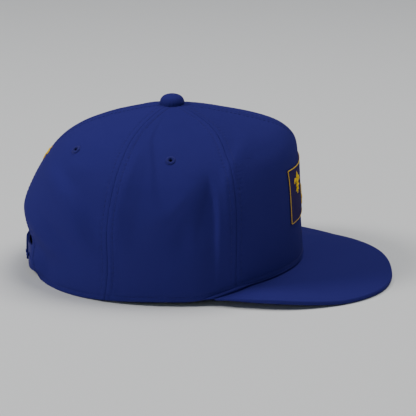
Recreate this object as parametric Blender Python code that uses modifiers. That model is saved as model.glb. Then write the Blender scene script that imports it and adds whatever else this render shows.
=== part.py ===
"""A snapback cap: a high five-panel crown, a flat visor, a sweatband and a plastic snap closure.

Metres, +Z up. The cap faces -Y and rests on Z = 0, on its visor's front edge and its back panels' lower
edges. The wearer's right is -X. The origin is the bottom centre of its box.
"""
import math

import bmesh
import bpy
import numpy as np
from mathutils import Matrix, Vector

# Crown, with its reaches measured at the rim from the axis of the top button
CROWN_FRONT = 0.0973
CROWN_BACK = 0.0997
CROWN_HALF_WIDTH = 0.0870
CROWN_HEIGHT = 0.1232
CROWN_CLOTH = 0.0014
SIDE_LIFT = 0.0031
REST_TRIM = 0.00015
FRONT_RISE = 0.0110
CROWN_TOP_SHARE = 0.975
SEAM_GAP = 0.0004
SEAM_DIP = 0.0007
SEAM_DIP_WIDTH = 0.0025
DART_START = 0.47
DART_FADE = 0.10
CROWN_MERIDIAN = 0.1730
CLEARANCE = 0.0003

# The rim's lift at the sides: full up to this many degrees round from the front, gone after the fade
LIFT_TURN = 84.0
LIFT_FADE = 48.0

# Folds pressed into the crown's cloth
FOLD_DEPTH = 0.0022
FOLD_WIDTH = 0.0090
FOLD_START = 0.02
FOLD_FADE = 0.10

# Visor, with its reach from the button's axis
VISOR_REACH = 0.1628
VISOR_HALF_WIDTH = 0.0912
VISOR_WIDEST = 0.0400
VISOR_SQUARE = 2.5
VISOR_THICKNESS = 0.0030
VISOR_TURN = 71.5
VISOR_TAPER = 0.80
VISOR_END_LIFT = 0.0080
VISOR_FLAT = 0.1250
VISOR_OVERHANG = 0.0012
VISOR_EDGE_ROUND = 0.0008

# Arch cut out of the back panels, above the closure
ARCH_HALF_WIDTH = 0.0360
ARCH_HEIGHT = 0.0370
ARCH_SINK = 0.0007

# The cloth beside the arch curls out behind, from this many degrees round on: it rises over the first
# height and falls again from the second one
CURL = 0.0060
CURL_TURN = 147.0
CURL_TURN_FADE = 10.5
CURL_RISE = 0.0100
CURL_FALL = 0.0130
CURL_FALL_FADE = 0.0160

# Sweatband inside the rim: its turns are degrees round from the front, its top a share of the way up.
# From BAND_STEP_TURN on it steps in, over BAND_STEP_FADE, to let the straps' ends by.
BAND_TURN = 155.0
BAND_STEP_TURN = 115.0
BAND_STEP_FADE = 15.0
BAND_TOP = 0.127
BAND_THICKNESS = 0.0009
BAND_RAISE = 0.0006

# Snap closure: two plastic straps across the arch, the one with holes outside
STRAP_BOTTOM = 0.0030
STRAP_HEIGHT = 0.0190
STRAP_THICKNESS = 0.0012
STRAP_TUCK = 0.0110
STRAP_BULGE = 0.0082
BULGE_POWER = 1.3
BULGE_END = 0.87 * ARCH_HALF_WIDTH
LEVEL_END = 0.75 * ARCH_HALF_WIDTH
STRAP_CORNER = 0.0050
STRAP_END = 0.0060
UNDER_START = 0.0220
UNDER_LENGTH = 0.0180
PEG_PITCH = 0.0080
PEG_RADIUS = 0.0016
PEG_COUNT = 7
HOLE_COUNT = 5
SNAPPED_COUNT = 4
PEG_PLAY = 0.0005

# Top button and its shank
BUTTON_RADIUS = 0.0087
BUTTON_HEIGHT = 0.0064
SHANK_RADIUS = 0.0018
SHANK_LENGTH = 0.0045

# Sewn eyelets
EYELET_RADIUS = 0.0035
EYELET_BORE = 0.0011
EYELET_NECK = 0.0020
EYELET_PROUD = 0.0008
FACET_ROOM = 0.0001

# Patch on the front, its border and its three fleurs-de-lis, and the one above the arch
PATCH_HALF_WIDTH = 0.0400
PATCH_BOTTOM = 0.0462
PATCH_HEIGHT = 0.0393
PATCH_THICKNESS = 0.0010
BORDER_WIDTH = 0.0014
BORDER_THICKNESS = 0.0004
FLEUR_HEIGHT = 0.0165
FLEUR_THICKNESS = 0.0006
FLEUR_ASIDE = 0.0253
FLEUR_MARGIN_TOP = 0.0037
FLEUR_MARGIN_BOTTOM = 0.0032
BACK_FLEUR_HEIGHT = 0.0110
BACK_FLEUR_BOTTOM = 0.0785

# The crown's form, a row for each tenth of the way up. Reaches are shares of CROWN_FRONT, CROWN_HALF_WIDTH
# and CROWN_BACK, heights are shares of the way from the rim to CROWN_HEIGHT, square is the outline's power.
SECTION_COLUMNS = ("front_reach", "front_height", "side_reach", "side_height", "back_reach", "back_height",
                   "square")
CROWN_SECTIONS = np.array([
    (1.000, 0.000, 1.000, 0.000, 1.000, 0.000, 2.17),
    (0.978, 0.218, 1.012, 0.197, 0.998, 0.162, 2.20),
    (0.957, 0.430, 0.994, 0.395, 1.067, 0.339, 2.25),
    (0.942, 0.617, 0.931, 0.569, 1.033, 0.485, 2.30),
    (0.926, 0.744, 0.833, 0.702, 0.947, 0.622, 2.30),
    (0.890, 0.808, 0.713, 0.793, 0.836, 0.751, 2.25),
    (0.812, 0.863, 0.575, 0.863, 0.697, 0.842, 2.20),
    (0.668, 0.906, 0.425, 0.918, 0.517, 0.908, 2.15),
    (0.452, 0.947, 0.276, 0.959, 0.331, 0.953, 2.10),
    (0.216, 0.981, 0.138, 0.987, 0.160, 0.984, 2.05),
    (0.000, 1.000, 0.000, 1.000, 0.000, 1.000, 2.00),
])

# How far the rim rises to the visor, a row for each sixth of a quarter turn from the front
RIM_COLUMNS = ("rise",)
RIM_ROWS = np.array([(0.97,), (1.00,), (1.00,), (0.89,), (0.65,), (0.11,), (0.00,)])

# Where the seams run, in degrees round from the front, a row for each quarter of the way up
SEAM_COLUMNS = ("front_seam", "rear_seam", "back_seam")
SEAM_ROWS = np.array([
    (61.3, 113.0, 180.0),
    (61.8, 109.0, 180.0),
    (64.9, 109.0, 180.0),
    (63.5, 112.0, 180.0),
    (60.0, 114.0, 180.0),
])

# Each panel, the seams at its two edges with their side, and its number of strips
PANELS = (
    ("front_panel", ("front_seam", -1), ("front_seam", 1), 20),
    ("side_panel_left", ("front_seam", 1), ("rear_seam", 1), 8),
    ("side_panel_right", ("rear_seam", -1), ("front_seam", -1), 8),
    ("back_panel_left", ("rear_seam", 1), ("back_seam", 1), 12),
    ("back_panel_right", ("back_seam", -1), ("rear_seam", -1), 12),
)
PANEL_ROWS = 20

# Folds, a row each: the ends of its line in degrees round from the front, negative on the wearer's right,
# and in shares of the way up, its width as a share of FOLD_WIDTH and its depth as a share of FOLD_DEPTH.
FOLD_COLUMNS = ("turn_1", "up_1", "turn_2", "up_2", "width", "depth")
FOLD_ROWS = np.array([
    (-75.8, 0.375, -76.2, 0.090, 1.00, 1.00),
    (-71.0, 0.365, -70.3, 0.075, 0.60, -0.35),
    (-89.0, 0.270, -85.5, 0.160, 1.00, 0.45),
    (-101.0, 0.650, -90.5, 0.260, 0.45, 0.35),
    (-138.0, 0.390, -115.0, 0.180, 1.10, 0.80),
    (-129.5, 0.255, -122.0, 0.175, 0.70, -0.30),
    (-153.5, 0.246, -131.0, 0.151, 0.90, 0.70),
    (-161.0, 0.366, -149.0, 0.334, 0.50, 0.40),
    (75.0, 0.340, 78.0, 0.110, 1.10, 0.80),
    (92.0, 0.260, 95.0, 0.170, 1.00, 0.45),
    (136.0, 0.370, 117.0, 0.200, 1.10, 0.70),
    (151.0, 0.250, 134.0, 0.160, 0.90, 0.50),
])

# Eyelets: name, its panel, degrees round from the front and share of the way up
EYELETS = (
    ("eyelet_side_right", "side_panel_right", -89.0, 0.494),
    ("eyelet_side_left", "side_panel_left", 89.0, 0.494),
    ("eyelet_back_right", "back_panel_right", -142.0, 0.523),
    ("eyelet_back_left", "back_panel_left", 142.0, 0.523),
)

# The button's profile from its top down to its rim: radius as a share of BUTTON_RADIUS and height as a
# share of BUTTON_HEIGHT
BUTTON_ROWS = (
    (0.00, 1.00), (0.35, 0.95), (0.65, 0.81), (0.87, 0.58), (0.98, 0.30), (1.00, -0.07), (0.95, -0.19),
)

# Half the outline of a fleur-de-lis, from its tip down to its foot, in shares of its height
FLEUR_COLUMNS = ("aside", "height")
FLEUR_ROWS = (
    (0.000, 1.00), (0.066, 0.89), (0.106, 0.77), (0.097, 0.64), (0.057, 0.52),
    (0.123, 0.61), (0.194, 0.70), (0.282, 0.74), (0.370, 0.70), (0.409, 0.60),
    (0.378, 0.50), (0.299, 0.48), (0.321, 0.57), (0.264, 0.60), (0.194, 0.53),
    (0.145, 0.42), (0.202, 0.42), (0.202, 0.34), (0.106, 0.34), (0.145, 0.24),
    (0.211, 0.19), (0.211, 0.12), (0.132, 0.10), (0.070, 0.18), (0.048, 0.08),
)

# Strips and rows of each bent sheet, sides of the round parts, and steps along each side of the border
GRIDS = {"visor": (44, 5), "sweatband": (48, 3), "strap": (26, 3), "patch": (10, 6)}
STRAP_CROWDING = 1.6
ROUND_SIDES = 12
BUTTON_SIDES = 20
BORDER_STEPS = 7
SEARCH_STEPS = 30
SEARCH_TOP = 0.9
SHARP_ANGLE = 40.0
EDGE_ANGLE = 60.0
WELD = 0.00001
CUT_EXTRA = 0.0020

COLOURS = {
    "crown_cloth": ((0.020, 0.035, 0.200, 1.0), 0.85),
    "visor_cloth": ((0.020, 0.035, 0.200, 1.0), 0.85),
    "band_cloth": ((0.018, 0.030, 0.160, 1.0), 0.90),
    "snap_plastic": ((0.018, 0.035, 0.220, 1.0), 0.45),
    "eyelet_thread": ((0.016, 0.030, 0.170, 1.0), 0.70),
    "patch_cloth": ((0.018, 0.014, 0.060, 1.0), 0.80),
    "gold_thread": ((0.720, 0.470, 0.040, 1.0), 0.50),
}


def read_rows(rows, place):
    """Read a table of evenly spaced rows smoothly, at places from 0, its first row, to 1, its last."""
    last = len(rows) - 1
    step = np.clip(np.asarray(place, dtype=float), 0.0, 1.0) * last
    index = np.minimum(np.floor(step).astype(int), last - 1)
    part = (step - index)[..., None]
    padded = np.vstack([2 * rows[0] - rows[1], rows, 2 * rows[-1] - rows[-2]])
    before, start, end, after = (padded[index + offset] for offset in range(4))
    curve = 2 * before - 5 * start + 4 * end - after + part * (3 * (start - end) + after - before)
    return start + 0.5 * part * (end - before + part * curve)


def read_columns(columns, rows, place):
    """The smooth reading of a table as a dictionary with a value for each named column."""
    return dict(zip(columns, np.moveaxis(read_rows(rows, place), -1, 0)))


def ease(value):
    """A smooth step from 0 to 1."""
    share = np.clip(value, 0.0, 1.0)
    return share * share * (3.0 - 2.0 * share)


def signed_power(value, power):
    return np.sign(value) * np.abs(value) ** power


# The back of the crown bulges past the rim, and its box is centred on Y = 0
BACK_REACH = CROWN_BACK * CROWN_SECTIONS[:, SECTION_COLUMNS.index("back_reach")].max()
AXIS_Y = (VISOR_REACH - BACK_REACH) / 2


def rim_height(turn):
    """Height of the crown's rim, at degrees round from the front, before its back is trimmed flat."""
    away = np.abs(turn)
    rise = read_columns(RIM_COLUMNS, RIM_ROWS, away / 90.0)["rise"]
    lift = (SIDE_LIFT + REST_TRIM) * (1.0 - ease((away - LIFT_TURN) / LIFT_FADE)) - REST_TRIM
    return lift + FRONT_RISE * rise


def smooth_face(turn, up):
    """Points of the crown's outer face before its seams and folds are pressed in."""
    turn, up = np.broadcast_arrays(np.asarray(turn, dtype=float), np.asarray(up, dtype=float))
    row = read_columns(SECTION_COLUMNS, CROWN_SECTIONS, up)
    ahead, aside = np.cos(np.radians(turn)), np.sin(np.radians(turn))
    in_front = ahead > 0
    reach = np.where(in_front, CROWN_FRONT * row["front_reach"], CROWN_BACK * row["back_reach"])
    end_height = np.where(in_front, row["front_height"], row["back_height"])
    share = row["side_height"] + (end_height - row["side_height"]) * ahead ** 2
    rim = rim_height(turn)
    power = 2.0 / row["square"]
    x = CROWN_HALF_WIDTH * row["side_reach"] * signed_power(aside, power)
    y = AXIS_Y - reach * signed_power(ahead, power)
    return np.stack([x, y, rim + share * (CROWN_HEIGHT - rim)], axis=-1)


def outward(turn, up):
    """Unit vectors that point out of the crown's smooth face."""
    small_turn, small_up = 0.5, 0.004
    low_up = np.clip(np.asarray(up, dtype=float), small_up, 1.0 - 2 * small_up)
    across = smooth_face(turn + small_turn, low_up) - smooth_face(turn - small_turn, low_up)
    along = smooth_face(turn, low_up + small_up) - smooth_face(turn, low_up - small_up)
    normal = np.cross(across, along)
    return normal / np.linalg.norm(normal, axis=-1, keepdims=True)


def seam_turn(seam, up):
    """Where a seam runs, in degrees round from the front: a seam is a column's name and a side."""
    name, side = seam
    return side * read_columns(SEAM_COLUMNS, SEAM_ROWS, up)[name]


def width_of_degree(turn, up):
    """Length along the face of one degree round the crown."""
    step = smooth_face(np.asarray(turn) + 0.5, up) - smooth_face(np.asarray(turn) - 0.5, up)
    return np.linalg.norm(step, axis=-1)


def valley(distance, width):
    return np.exp(-(distance / width) ** 2)


def seam_depth(turn, up):
    """How far the cloth is drawn in at the seams and along the front panel's centre dart."""
    scale = width_of_degree(turn, up)
    depth = np.zeros(np.broadcast(turn, up).shape)
    for name in SEAM_COLUMNS:
        distance = (np.abs(turn) - seam_turn((name, 1), up)) * scale
        depth = np.maximum(depth, SEAM_DIP * valley(distance, SEAM_DIP_WIDTH))
    dart = ease((up - DART_START) / DART_FADE) * valley(turn * scale, SEAM_DIP_WIDTH)
    return np.maximum(depth, SEAM_DIP * dart)


def fold_depth(turn, up):
    """Depth of the folds: each one is a soft valley, or a ridge, along a straight line on the face."""
    metres_per_degree = CROWN_HALF_WIDTH * math.pi / 180
    depth = np.zeros(np.broadcast(turn, up).shape)
    for row in FOLD_ROWS:
        fold = dict(zip(FOLD_COLUMNS, row))
        start = np.array([fold["turn_1"] * metres_per_degree, fold["up_1"] * CROWN_MERIDIAN])
        line = np.array([fold["turn_2"] * metres_per_degree, fold["up_2"] * CROWN_MERIDIAN]) - start
        to_point = np.stack(np.broadcast_arrays(turn * metres_per_degree, up * CROWN_MERIDIAN), axis=-1) - start
        share = np.clip(to_point @ line / (line @ line), 0.0, 1.0)
        distance = np.linalg.norm(to_point - share[..., None] * line, axis=-1)
        depth = depth + FOLD_DEPTH * fold["depth"] * valley(distance, FOLD_WIDTH * fold["width"])
    return depth * ease((up - FOLD_START) / FOLD_FADE)


def crown_face(turn, up, inward=0.0):
    """Points of the crown's outer face with its seams and folds, or of a face that lies further in."""
    pressed = seam_depth(turn, up) + fold_depth(turn, up) + inward
    return smooth_face(turn, up) - outward(turn, up) * pressed[..., None]


def curl(turn, z):
    """How far back the cloth beside the closure's arch curls out, at a height."""
    beside = ease((np.abs(turn) - CURL_TURN) / CURL_TURN_FADE)
    return CURL * beside * ease(z / CURL_RISE) * (1.0 - ease((z - CURL_FALL) / CURL_FALL_FADE))


def face_at(x, z, front=True):
    """Turn and share of the way up of the face's point at x and z, on the front or the back of the crown."""
    x, z = np.broadcast_arrays(np.asarray(x, dtype=float), np.asarray(z, dtype=float))
    low, high = np.zeros(x.shape), np.full(x.shape, SEARCH_TOP)
    for _ in range(SEARCH_STEPS):
        middle = (low + high) / 2
        row = read_columns(SECTION_COLUMNS, CROWN_SECTIONS, middle)
        aside = np.clip(np.abs(x) / (CROWN_HALF_WIDTH * row["side_reach"]), 0.0, 1.0)
        turn = np.degrees(np.arcsin(aside ** (row["square"] / 2)))
        turn = np.where(x < 0, -1.0, 1.0) * (turn if front else 180.0 - turn)
        below = smooth_face(turn, middle)[..., 2] < z
        low, high = np.where(below, middle, low), np.where(below, high, middle)
    return turn, middle


def clear_scene():
    for item in list(bpy.data.objects):
        bpy.data.objects.remove(item, do_unlink=True)


def new_collection(name):
    collection = bpy.data.collections.new(name)
    bpy.context.scene.collection.children.link(collection)
    return collection


def new_materials():
    """One Principled material for each entry of COLOURS."""
    materials = {}
    for name, (colour, roughness) in COLOURS.items():
        material = bpy.data.materials.new(name)
        material.use_nodes = True
        shader = material.node_tree.nodes["Principled BSDF"]
        shader.inputs["Base Color"].default_value = colour
        shader.inputs["Roughness"].default_value = roughness
        material.diffuse_color = colour
        materials[name] = material
    return materials


def new_object(name, mesh, collection, material=None):
    """An object in a collection, shaded smooth but for its sharp edges."""
    item = bpy.data.objects.new(name, mesh)
    collection.objects.link(item)
    mesh.shade_smooth()
    mesh.set_sharp_from_angle(angle=math.radians(SHARP_ANGLE))
    if material is not None:
        mesh.materials.append(material)
    return item


def sheet(name, strips, rows, place, thickness, collection, material, proud=False):
    """A grid bent by place(u, v), with u and v from 0 to 1, and thickened inwards, or outwards if proud."""
    grid = bmesh.new()
    bmesh.ops.create_grid(grid, x_segments=strips, y_segments=rows, size=1.0)
    corners = np.array([vertex.co[:2] for vertex in grid.verts]) / 2 + 0.5
    points = place(corners[:, 0], corners[:, 1])
    for vertex, point in zip(grid.verts, points):
        vertex.co = point
    mesh = bpy.data.meshes.new(name)
    grid.to_mesh(mesh)
    grid.free()
    item = new_object(name, mesh, collection, material)
    wall = item.modifiers.new("wall", "SOLIDIFY")
    wall.thickness = thickness
    wall.offset = 1.0 if proud else -1.0
    wall.use_even_offset = True
    return item


def turned(name, profile, sides, collection, material, closed=False):
    """A solid turned about Z by a Screw, from a profile of (radius, height) that runs down its outer side."""
    count = len(profile)
    edges = [(index, index + 1) for index in range(count - 1)]
    if closed:
        edges.append((count - 1, 0))
    mesh = bpy.data.meshes.new(name)
    mesh.from_pydata([(radius, 0.0, height) for radius, height in profile], edges, [])
    item = bpy.data.objects.new(name, mesh)
    collection.objects.link(item)
    if material is not None:
        mesh.materials.append(material)
    screw = item.modifiers.new("turn", "SCREW")
    screw.steps = screw.render_steps = sides
    screw.use_merge_vertices = True
    screw.merge_threshold = WELD
    screw.use_smooth_shade = True
    return item


def pin(name, radius, bottom, top, frame, cutters, sides=ROUND_SIDES):
    """A plain cylinder in the cutters' collection, along the Z axis of a frame."""
    mesh = bpy.data.meshes.new(name)
    body = bmesh.new()
    middle = Matrix.Translation((0, 0, (bottom + top) / 2))
    bmesh.ops.create_cone(body, cap_ends=True, segments=sides, radius1=radius, radius2=radius,
                          depth=top - bottom, matrix=frame @ middle)
    body.to_mesh(mesh)
    body.free()
    return hide(new_object(name, mesh, cutters))


def hide(cutter):
    cutter.hide_render = True
    cutter.display_type = "WIRE"
    return cutter


def combine(item, cutter, operation="DIFFERENCE"):
    boolean = item.modifiers.new(cutter.name, "BOOLEAN")
    boolean.operation = operation
    boolean.object = cutter
    return item


def frame_on_crown(turn, up, inward=0.0):
    """A frame on the crown's face whose Z axis points out of it."""
    place = Vector(crown_face(np.array(turn), np.array(up), inward))
    normal = Vector(outward(turn, up))
    return Matrix.Translation(place) @ normal.to_track_quat("Z", "Y").to_matrix().to_4x4()


def make_panels(parts, materials):
    """The five crown panels, each a sheet between two seams with half a seam gap at either edge."""
    panels = {}
    for name, first, last, strips in PANELS:
        def place(u, v, first=first, last=last):
            up = v * CROWN_TOP_SHARE
            start, end = seam_turn(first, up), seam_turn(last, up)
            start = start + SEAM_GAP / 2 / width_of_degree(start, up)
            end = end - SEAM_GAP / 2 / width_of_degree(end, up)
            turn = start + (end - start) * u
            points = crown_face(turn, up)
            points[..., 1] += curl(turn, points[..., 2])
            return points
        panels[name] = sheet(name, strips, PANEL_ROWS, place, CROWN_CLOTH, parts, materials["crown_cloth"])
    return panels


def cut_arch(panels, cutters):
    """Cut the closure's arch, half an ellipse, out of the two back panels."""
    depth = CROWN_BACK
    mesh = bpy.data.meshes.new("arch_cutter")
    body = bmesh.new()
    bmesh.ops.create_cone(body, cap_ends=True, segments=4 * ROUND_SIDES, radius1=1.0, radius2=1.0, depth=depth)
    stretch = Matrix.Diagonal((ARCH_HALF_WIDTH, ARCH_HEIGHT + ARCH_SINK, 1.0, 1.0))
    stand = Matrix.Rotation(math.radians(90), 4, "X")
    move = Matrix.Translation((0, AXIS_Y + CROWN_BACK, -ARCH_SINK))
    bmesh.ops.transform(body, matrix=move @ stand @ stretch, verts=body.verts)
    body.to_mesh(mesh)
    body.free()
    cutter = hide(new_object("arch_cutter", mesh, cutters))
    combine(panels["back_panel_left"], cutter)
    combine(panels["back_panel_right"], cutter)


def trim_rest(panels, cutters):
    """Trim the back panels' lower edges flat at Z = 0, for the cap to rest on."""
    mesh = bpy.data.meshes.new("rest_cutter")
    body = bmesh.new()
    size = Matrix.Diagonal((3 * CROWN_HALF_WIDTH, 2 * CROWN_BACK, CUT_EXTRA, 1.0))
    move = Matrix.Translation((0, AXIS_Y + CROWN_BACK, -CUT_EXTRA / 2))
    bmesh.ops.create_cube(body, size=1.0, matrix=move @ size)
    body.to_mesh(mesh)
    body.free()
    cutter = hide(new_object("rest_cutter", mesh, cutters))
    combine(panels["back_panel_left"], cutter)
    combine(panels["back_panel_right"], cutter)


def make_eyelets(panels, parts, cutters, materials):
    """A thread ring in a hole of each side and back panel: a lip outside and a neck through the cloth."""
    lip = CLEARANCE + FACET_ROOM
    deep = -CROWN_CLOTH - CLEARANCE
    profile = (
        (EYELET_BORE, EYELET_PROUD), ((EYELET_BORE + EYELET_RADIUS) / 2, lip + EYELET_PROUD),
        (EYELET_RADIUS, EYELET_PROUD), (EYELET_RADIUS, lip), (EYELET_NECK, lip), (EYELET_NECK, deep),
        (EYELET_BORE, deep),
    )
    for name, panel, turn, up in EYELETS:
        frame = frame_on_crown(turn, up)
        combine(panels[panel], pin(name + "_cutter", EYELET_NECK + lip, -CROWN_CLOTH - CUT_EXTRA, CUT_EXTRA,
                                   frame, cutters))
        ring = turned(name, profile, ROUND_SIDES, parts, materials["eyelet_thread"], closed=True)
        ring.matrix_world = frame


def make_button(parts, materials):
    """The covered button on the crown's top, with a plain shank down through the panels' tips."""
    profile = [(BUTTON_RADIUS * radius, CLEARANCE + BUTTON_HEIGHT * height) for radius, height in BUTTON_ROWS]
    profile += [(SHANK_RADIUS, CLEARANCE), (SHANK_RADIUS, -SHANK_LENGTH), (0.0, -SHANK_LENGTH)]
    button = turned("top_button", profile, BUTTON_SIDES, parts, materials["crown_cloth"])
    button.location = (0.0, AXIS_Y, CROWN_HEIGHT)


def visor_edge(across):
    """The visor's outer edge on its upper face, at -1 for its right end to 1 for its left end."""
    angle = np.radians(90.0 * across)
    power = 2.0 / VISOR_SQUARE
    reach = VISOR_WIDEST + (VISOR_REACH - VISOR_WIDEST) * np.abs(np.cos(angle)) ** power
    x = VISOR_HALF_WIDTH * signed_power(np.sin(angle), power)
    lift = VISOR_END_LIFT * np.clip((VISOR_FLAT - reach) / (VISOR_FLAT - VISOR_WIDEST), 0.0, 1.0)
    edge = np.stack([x, AXIS_Y - reach, lift + VISOR_THICKNESS], axis=-1)
    end = smooth_face(VISOR_TURN * np.sign(across), np.zeros(across.shape))
    end = end + np.stack([np.sign(across), -np.ones(across.shape), np.zeros(across.shape)],
                         axis=-1) * VISOR_OVERHANG
    taper = ease((np.abs(across) - VISOR_TAPER) / (1.0 - VISOR_TAPER))[..., None]
    return edge + (end - edge) * taper


def visor_face(u, v):
    """The visor's upper face, from its outer edge at v = 0 to its inner edge under the rim at v = 1."""
    across = 2.0 * u - 1.0
    outer = visor_edge(across)
    turn = VISOR_TURN * across
    inner = smooth_face(turn, np.zeros(turn.shape))
    flat = outward(turn, np.zeros(turn.shape)) * np.array([1.0, 1.0, 0.0])
    inner = inner - flat * CROWN_CLOTH - np.array([0.0, 0.0, CLEARANCE])
    return outer + (inner - outer) * v[..., None]


def make_visor(parts, materials):
    visor = sheet("visor", *GRIDS["visor"], visor_face, VISOR_THICKNESS, parts, materials["visor_cloth"])
    rounding = visor.modifiers.new("edge", "BEVEL")
    rounding.width = VISOR_EDGE_ROUND
    rounding.segments = 1
    rounding.limit_method = "ANGLE"
    rounding.angle_limit = math.radians(EDGE_ANGLE)


def make_sweatband(parts, materials):
    """The band inside the rim, from one end of the arch round the front to the other."""
    def place(u, v):
        turn = BAND_TURN * (2.0 * u - 1.0)
        up = BAND_TOP * v
        behind = ease((np.abs(turn) - BAND_STEP_TURN) / BAND_STEP_FADE)
        inward = CROWN_CLOTH + SEAM_DIP + 2 * CLEARANCE + (STRAP_THICKNESS + CLEARANCE) * behind
        inward = inward + fold_depth(turn, up)
        points = smooth_face(turn, up) - outward(turn, up) * inward[..., None]
        return points + np.array([0.0, 0.0, BAND_RAISE])
    sheet("sweatband", *GRIDS["sweatband"], place, BAND_THICKNESS, parts, materials["band_cloth"])


def strap_place(x, z, deeper=0.0):
    """A point of a strap's outer face: tucked inside the crown at the arch's ends, bulging between them."""
    away = np.abs(x)
    inside = ease((away - LEVEL_END) / (ARCH_HALF_WIDTH - LEVEL_END))
    turn, up = face_at(x, z * inside, front=False)
    level = outward(turn, up) * np.array([1.0, 1.0, 0.0])
    level = level / np.linalg.norm(level, axis=-1, keepdims=True)
    bulge = STRAP_BULGE * np.clip(1.0 - (away / BULGE_END) ** 2, 0.0, 1.0) ** BULGE_POWER
    offset = bulge - CROWN_CLOTH - CLEARANCE - deeper
    points = crown_face(turn, up) + level * np.asarray(offset)[..., None]
    points[..., 2] = z
    return points


def strap_sheet(name, tucked_end, free_end, deeper, parts, materials):
    """One strap, from its tucked end to its free end, whose corners are rounded."""
    def place(u, v):
        x = tucked_end + (free_end - tucked_end) * (1.0 - (1.0 - u) ** STRAP_CROWDING)
        short_of = np.clip(STRAP_CORNER - np.abs(free_end - x), 0.0, STRAP_CORNER)
        corner = STRAP_CORNER - np.sqrt(STRAP_CORNER ** 2 - short_of ** 2)
        z = STRAP_BOTTOM + corner + (STRAP_HEIGHT - 2.0 * corner) * v
        return strap_place(x, z, deeper(x))

    def turned_place(u, v):
        return place(1.0 - u if tucked_end < free_end else u, v)

    return sheet(name, *GRIDS["strap"], turned_place, STRAP_THICKNESS, parts, materials["snap_plastic"])


def make_closure(parts, cutters, materials):
    """The two straps, fastened: pegs of the inner strap stand in holes of the outer one."""
    layer = STRAP_THICKNESS + CLEARANCE
    tucked = ARCH_HALF_WIDTH + STRAP_TUCK
    peg_end = SNAPPED_COUNT * PEG_PITCH - STRAP_END

    def no_deeper(x):
        return np.zeros(np.shape(x))

    def under(x):
        return layer * ease((x + STRAP_END + UNDER_START) / UNDER_LENGTH)

    outer = strap_sheet("strap_holes", tucked, -STRAP_END, no_deeper, parts, materials)
    inner = strap_sheet("strap_pegs", -tucked, peg_end, under, parts, materials)
    first = peg_end - 0.5 * PEG_PITCH
    for number in range(PEG_COUNT):
        x = first - number * PEG_PITCH
        combine(inner, pin(f"peg_{number + 1}", PEG_RADIUS, -STRAP_THICKNESS / 2, layer + CLEARANCE,
                           strap_frame(x, float(under(x))), cutters), "UNION")
    for number in range(HOLE_COUNT):
        x = first - (SNAPPED_COUNT - 1 - number) * PEG_PITCH
        combine(outer, pin(f"hole_{number + 1}", PEG_RADIUS + PEG_PLAY, -CUT_EXTRA / 2, layer + CUT_EXTRA / 2,
                           strap_frame(x, float(under(x))), cutters))


def strap_frame(x, deeper):
    """A frame on a strap's outer face at mid height, whose Z axis points out of it."""
    step = 0.0005
    middle = STRAP_BOTTOM + STRAP_HEIGHT / 2
    ends = [strap_place(np.array(x + side * step), np.array(middle), deeper) for side in (-1, 1)]
    along = Vector(ends[1] - ends[0]).normalized()
    normal = Vector((0, 0, 1)).cross(along)
    place = Vector((ends[0] + ends[1]) / 2)
    return Matrix.Translation(place) @ normal.to_track_quat("Z", "Y").to_matrix().to_4x4()


def make_patch(parts, materials):
    """The patch on the front panel, the raised border along its edge and the three fleurs-de-lis on it."""
    def place(u, v):
        x = PATCH_HALF_WIDTH * (2.0 * u - 1.0)
        turn, up = face_at(x, PATCH_BOTTOM + PATCH_HEIGHT * v)
        return crown_face(turn, up, -CLEARANCE)
    sheet("patch", *GRIDS["patch"], place, PATCH_THICKNESS, parts, materials["patch_cloth"], proud=True)
    on_patch = 2 * CLEARANCE + PATCH_THICKNESS
    make_border(on_patch, parts, materials)
    upper = PATCH_BOTTOM + PATCH_HEIGHT - FLEUR_MARGIN_TOP - FLEUR_HEIGHT
    lower = PATCH_BOTTOM + FLEUR_MARGIN_BOTTOM
    for name, x, bottom in (("fleur_right", -FLEUR_ASIDE, upper), ("fleur_left", FLEUR_ASIDE, upper),
                            ("fleur_low", 0.0, lower)):
        make_fleur(name, x, bottom, FLEUR_HEIGHT, on_patch, True, parts, materials)


def make_border(height, parts, materials):
    """The border: a flat frame of two loops, bent to the face like the patch under it."""
    corners = np.array([(-1, -1), (1, -1), (1, 1), (-1, 1)])
    shares = np.linspace(0.0, 1.0, BORDER_STEPS, endpoint=False)[None, :, None]
    square = corners[:, None] + (np.roll(corners, -1, axis=0) - corners)[:, None] * shares
    square = square.reshape(-1, 2)
    half = np.array([PATCH_HALF_WIDTH, PATCH_HEIGHT / 2])
    count = len(square)
    body = bmesh.new()
    outer = [body.verts.new((*point, 0.0)) for point in square * half]
    inner = [body.verts.new((*point, 0.0)) for point in square * (half - BORDER_WIDTH)]
    for index in range(count):
        other = (index + 1) % count
        body.faces.new((outer[index], outer[other], inner[other], inner[index]))
    mesh = bpy.data.meshes.new("patch_border")
    body.to_mesh(mesh)
    body.free()
    bend_to_face(mesh, 0.0, PATCH_BOTTOM + PATCH_HEIGHT / 2, height, True)
    border = new_object("patch_border", mesh, parts, materials["gold_thread"])
    wall = border.modifiers.new("wall", "SOLIDIFY")
    wall.thickness = BORDER_THICKNESS
    wall.offset = 1.0


def bend_to_face(mesh, x, z, height, front):
    """Lay a flat mesh on the crown's face, its X across, its Y up and its Z out of the face."""
    flat = np.array([vertex.co[:] for vertex in mesh.vertices])
    side = 1.0 if front else -1.0
    turn, up = face_at(x + side * flat[:, 0], z + flat[:, 1], front)
    points = crown_face(turn, up, -height) + outward(turn, up) * flat[:, 2:3]
    for vertex, point in zip(mesh.vertices, points):
        vertex.co = point


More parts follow.
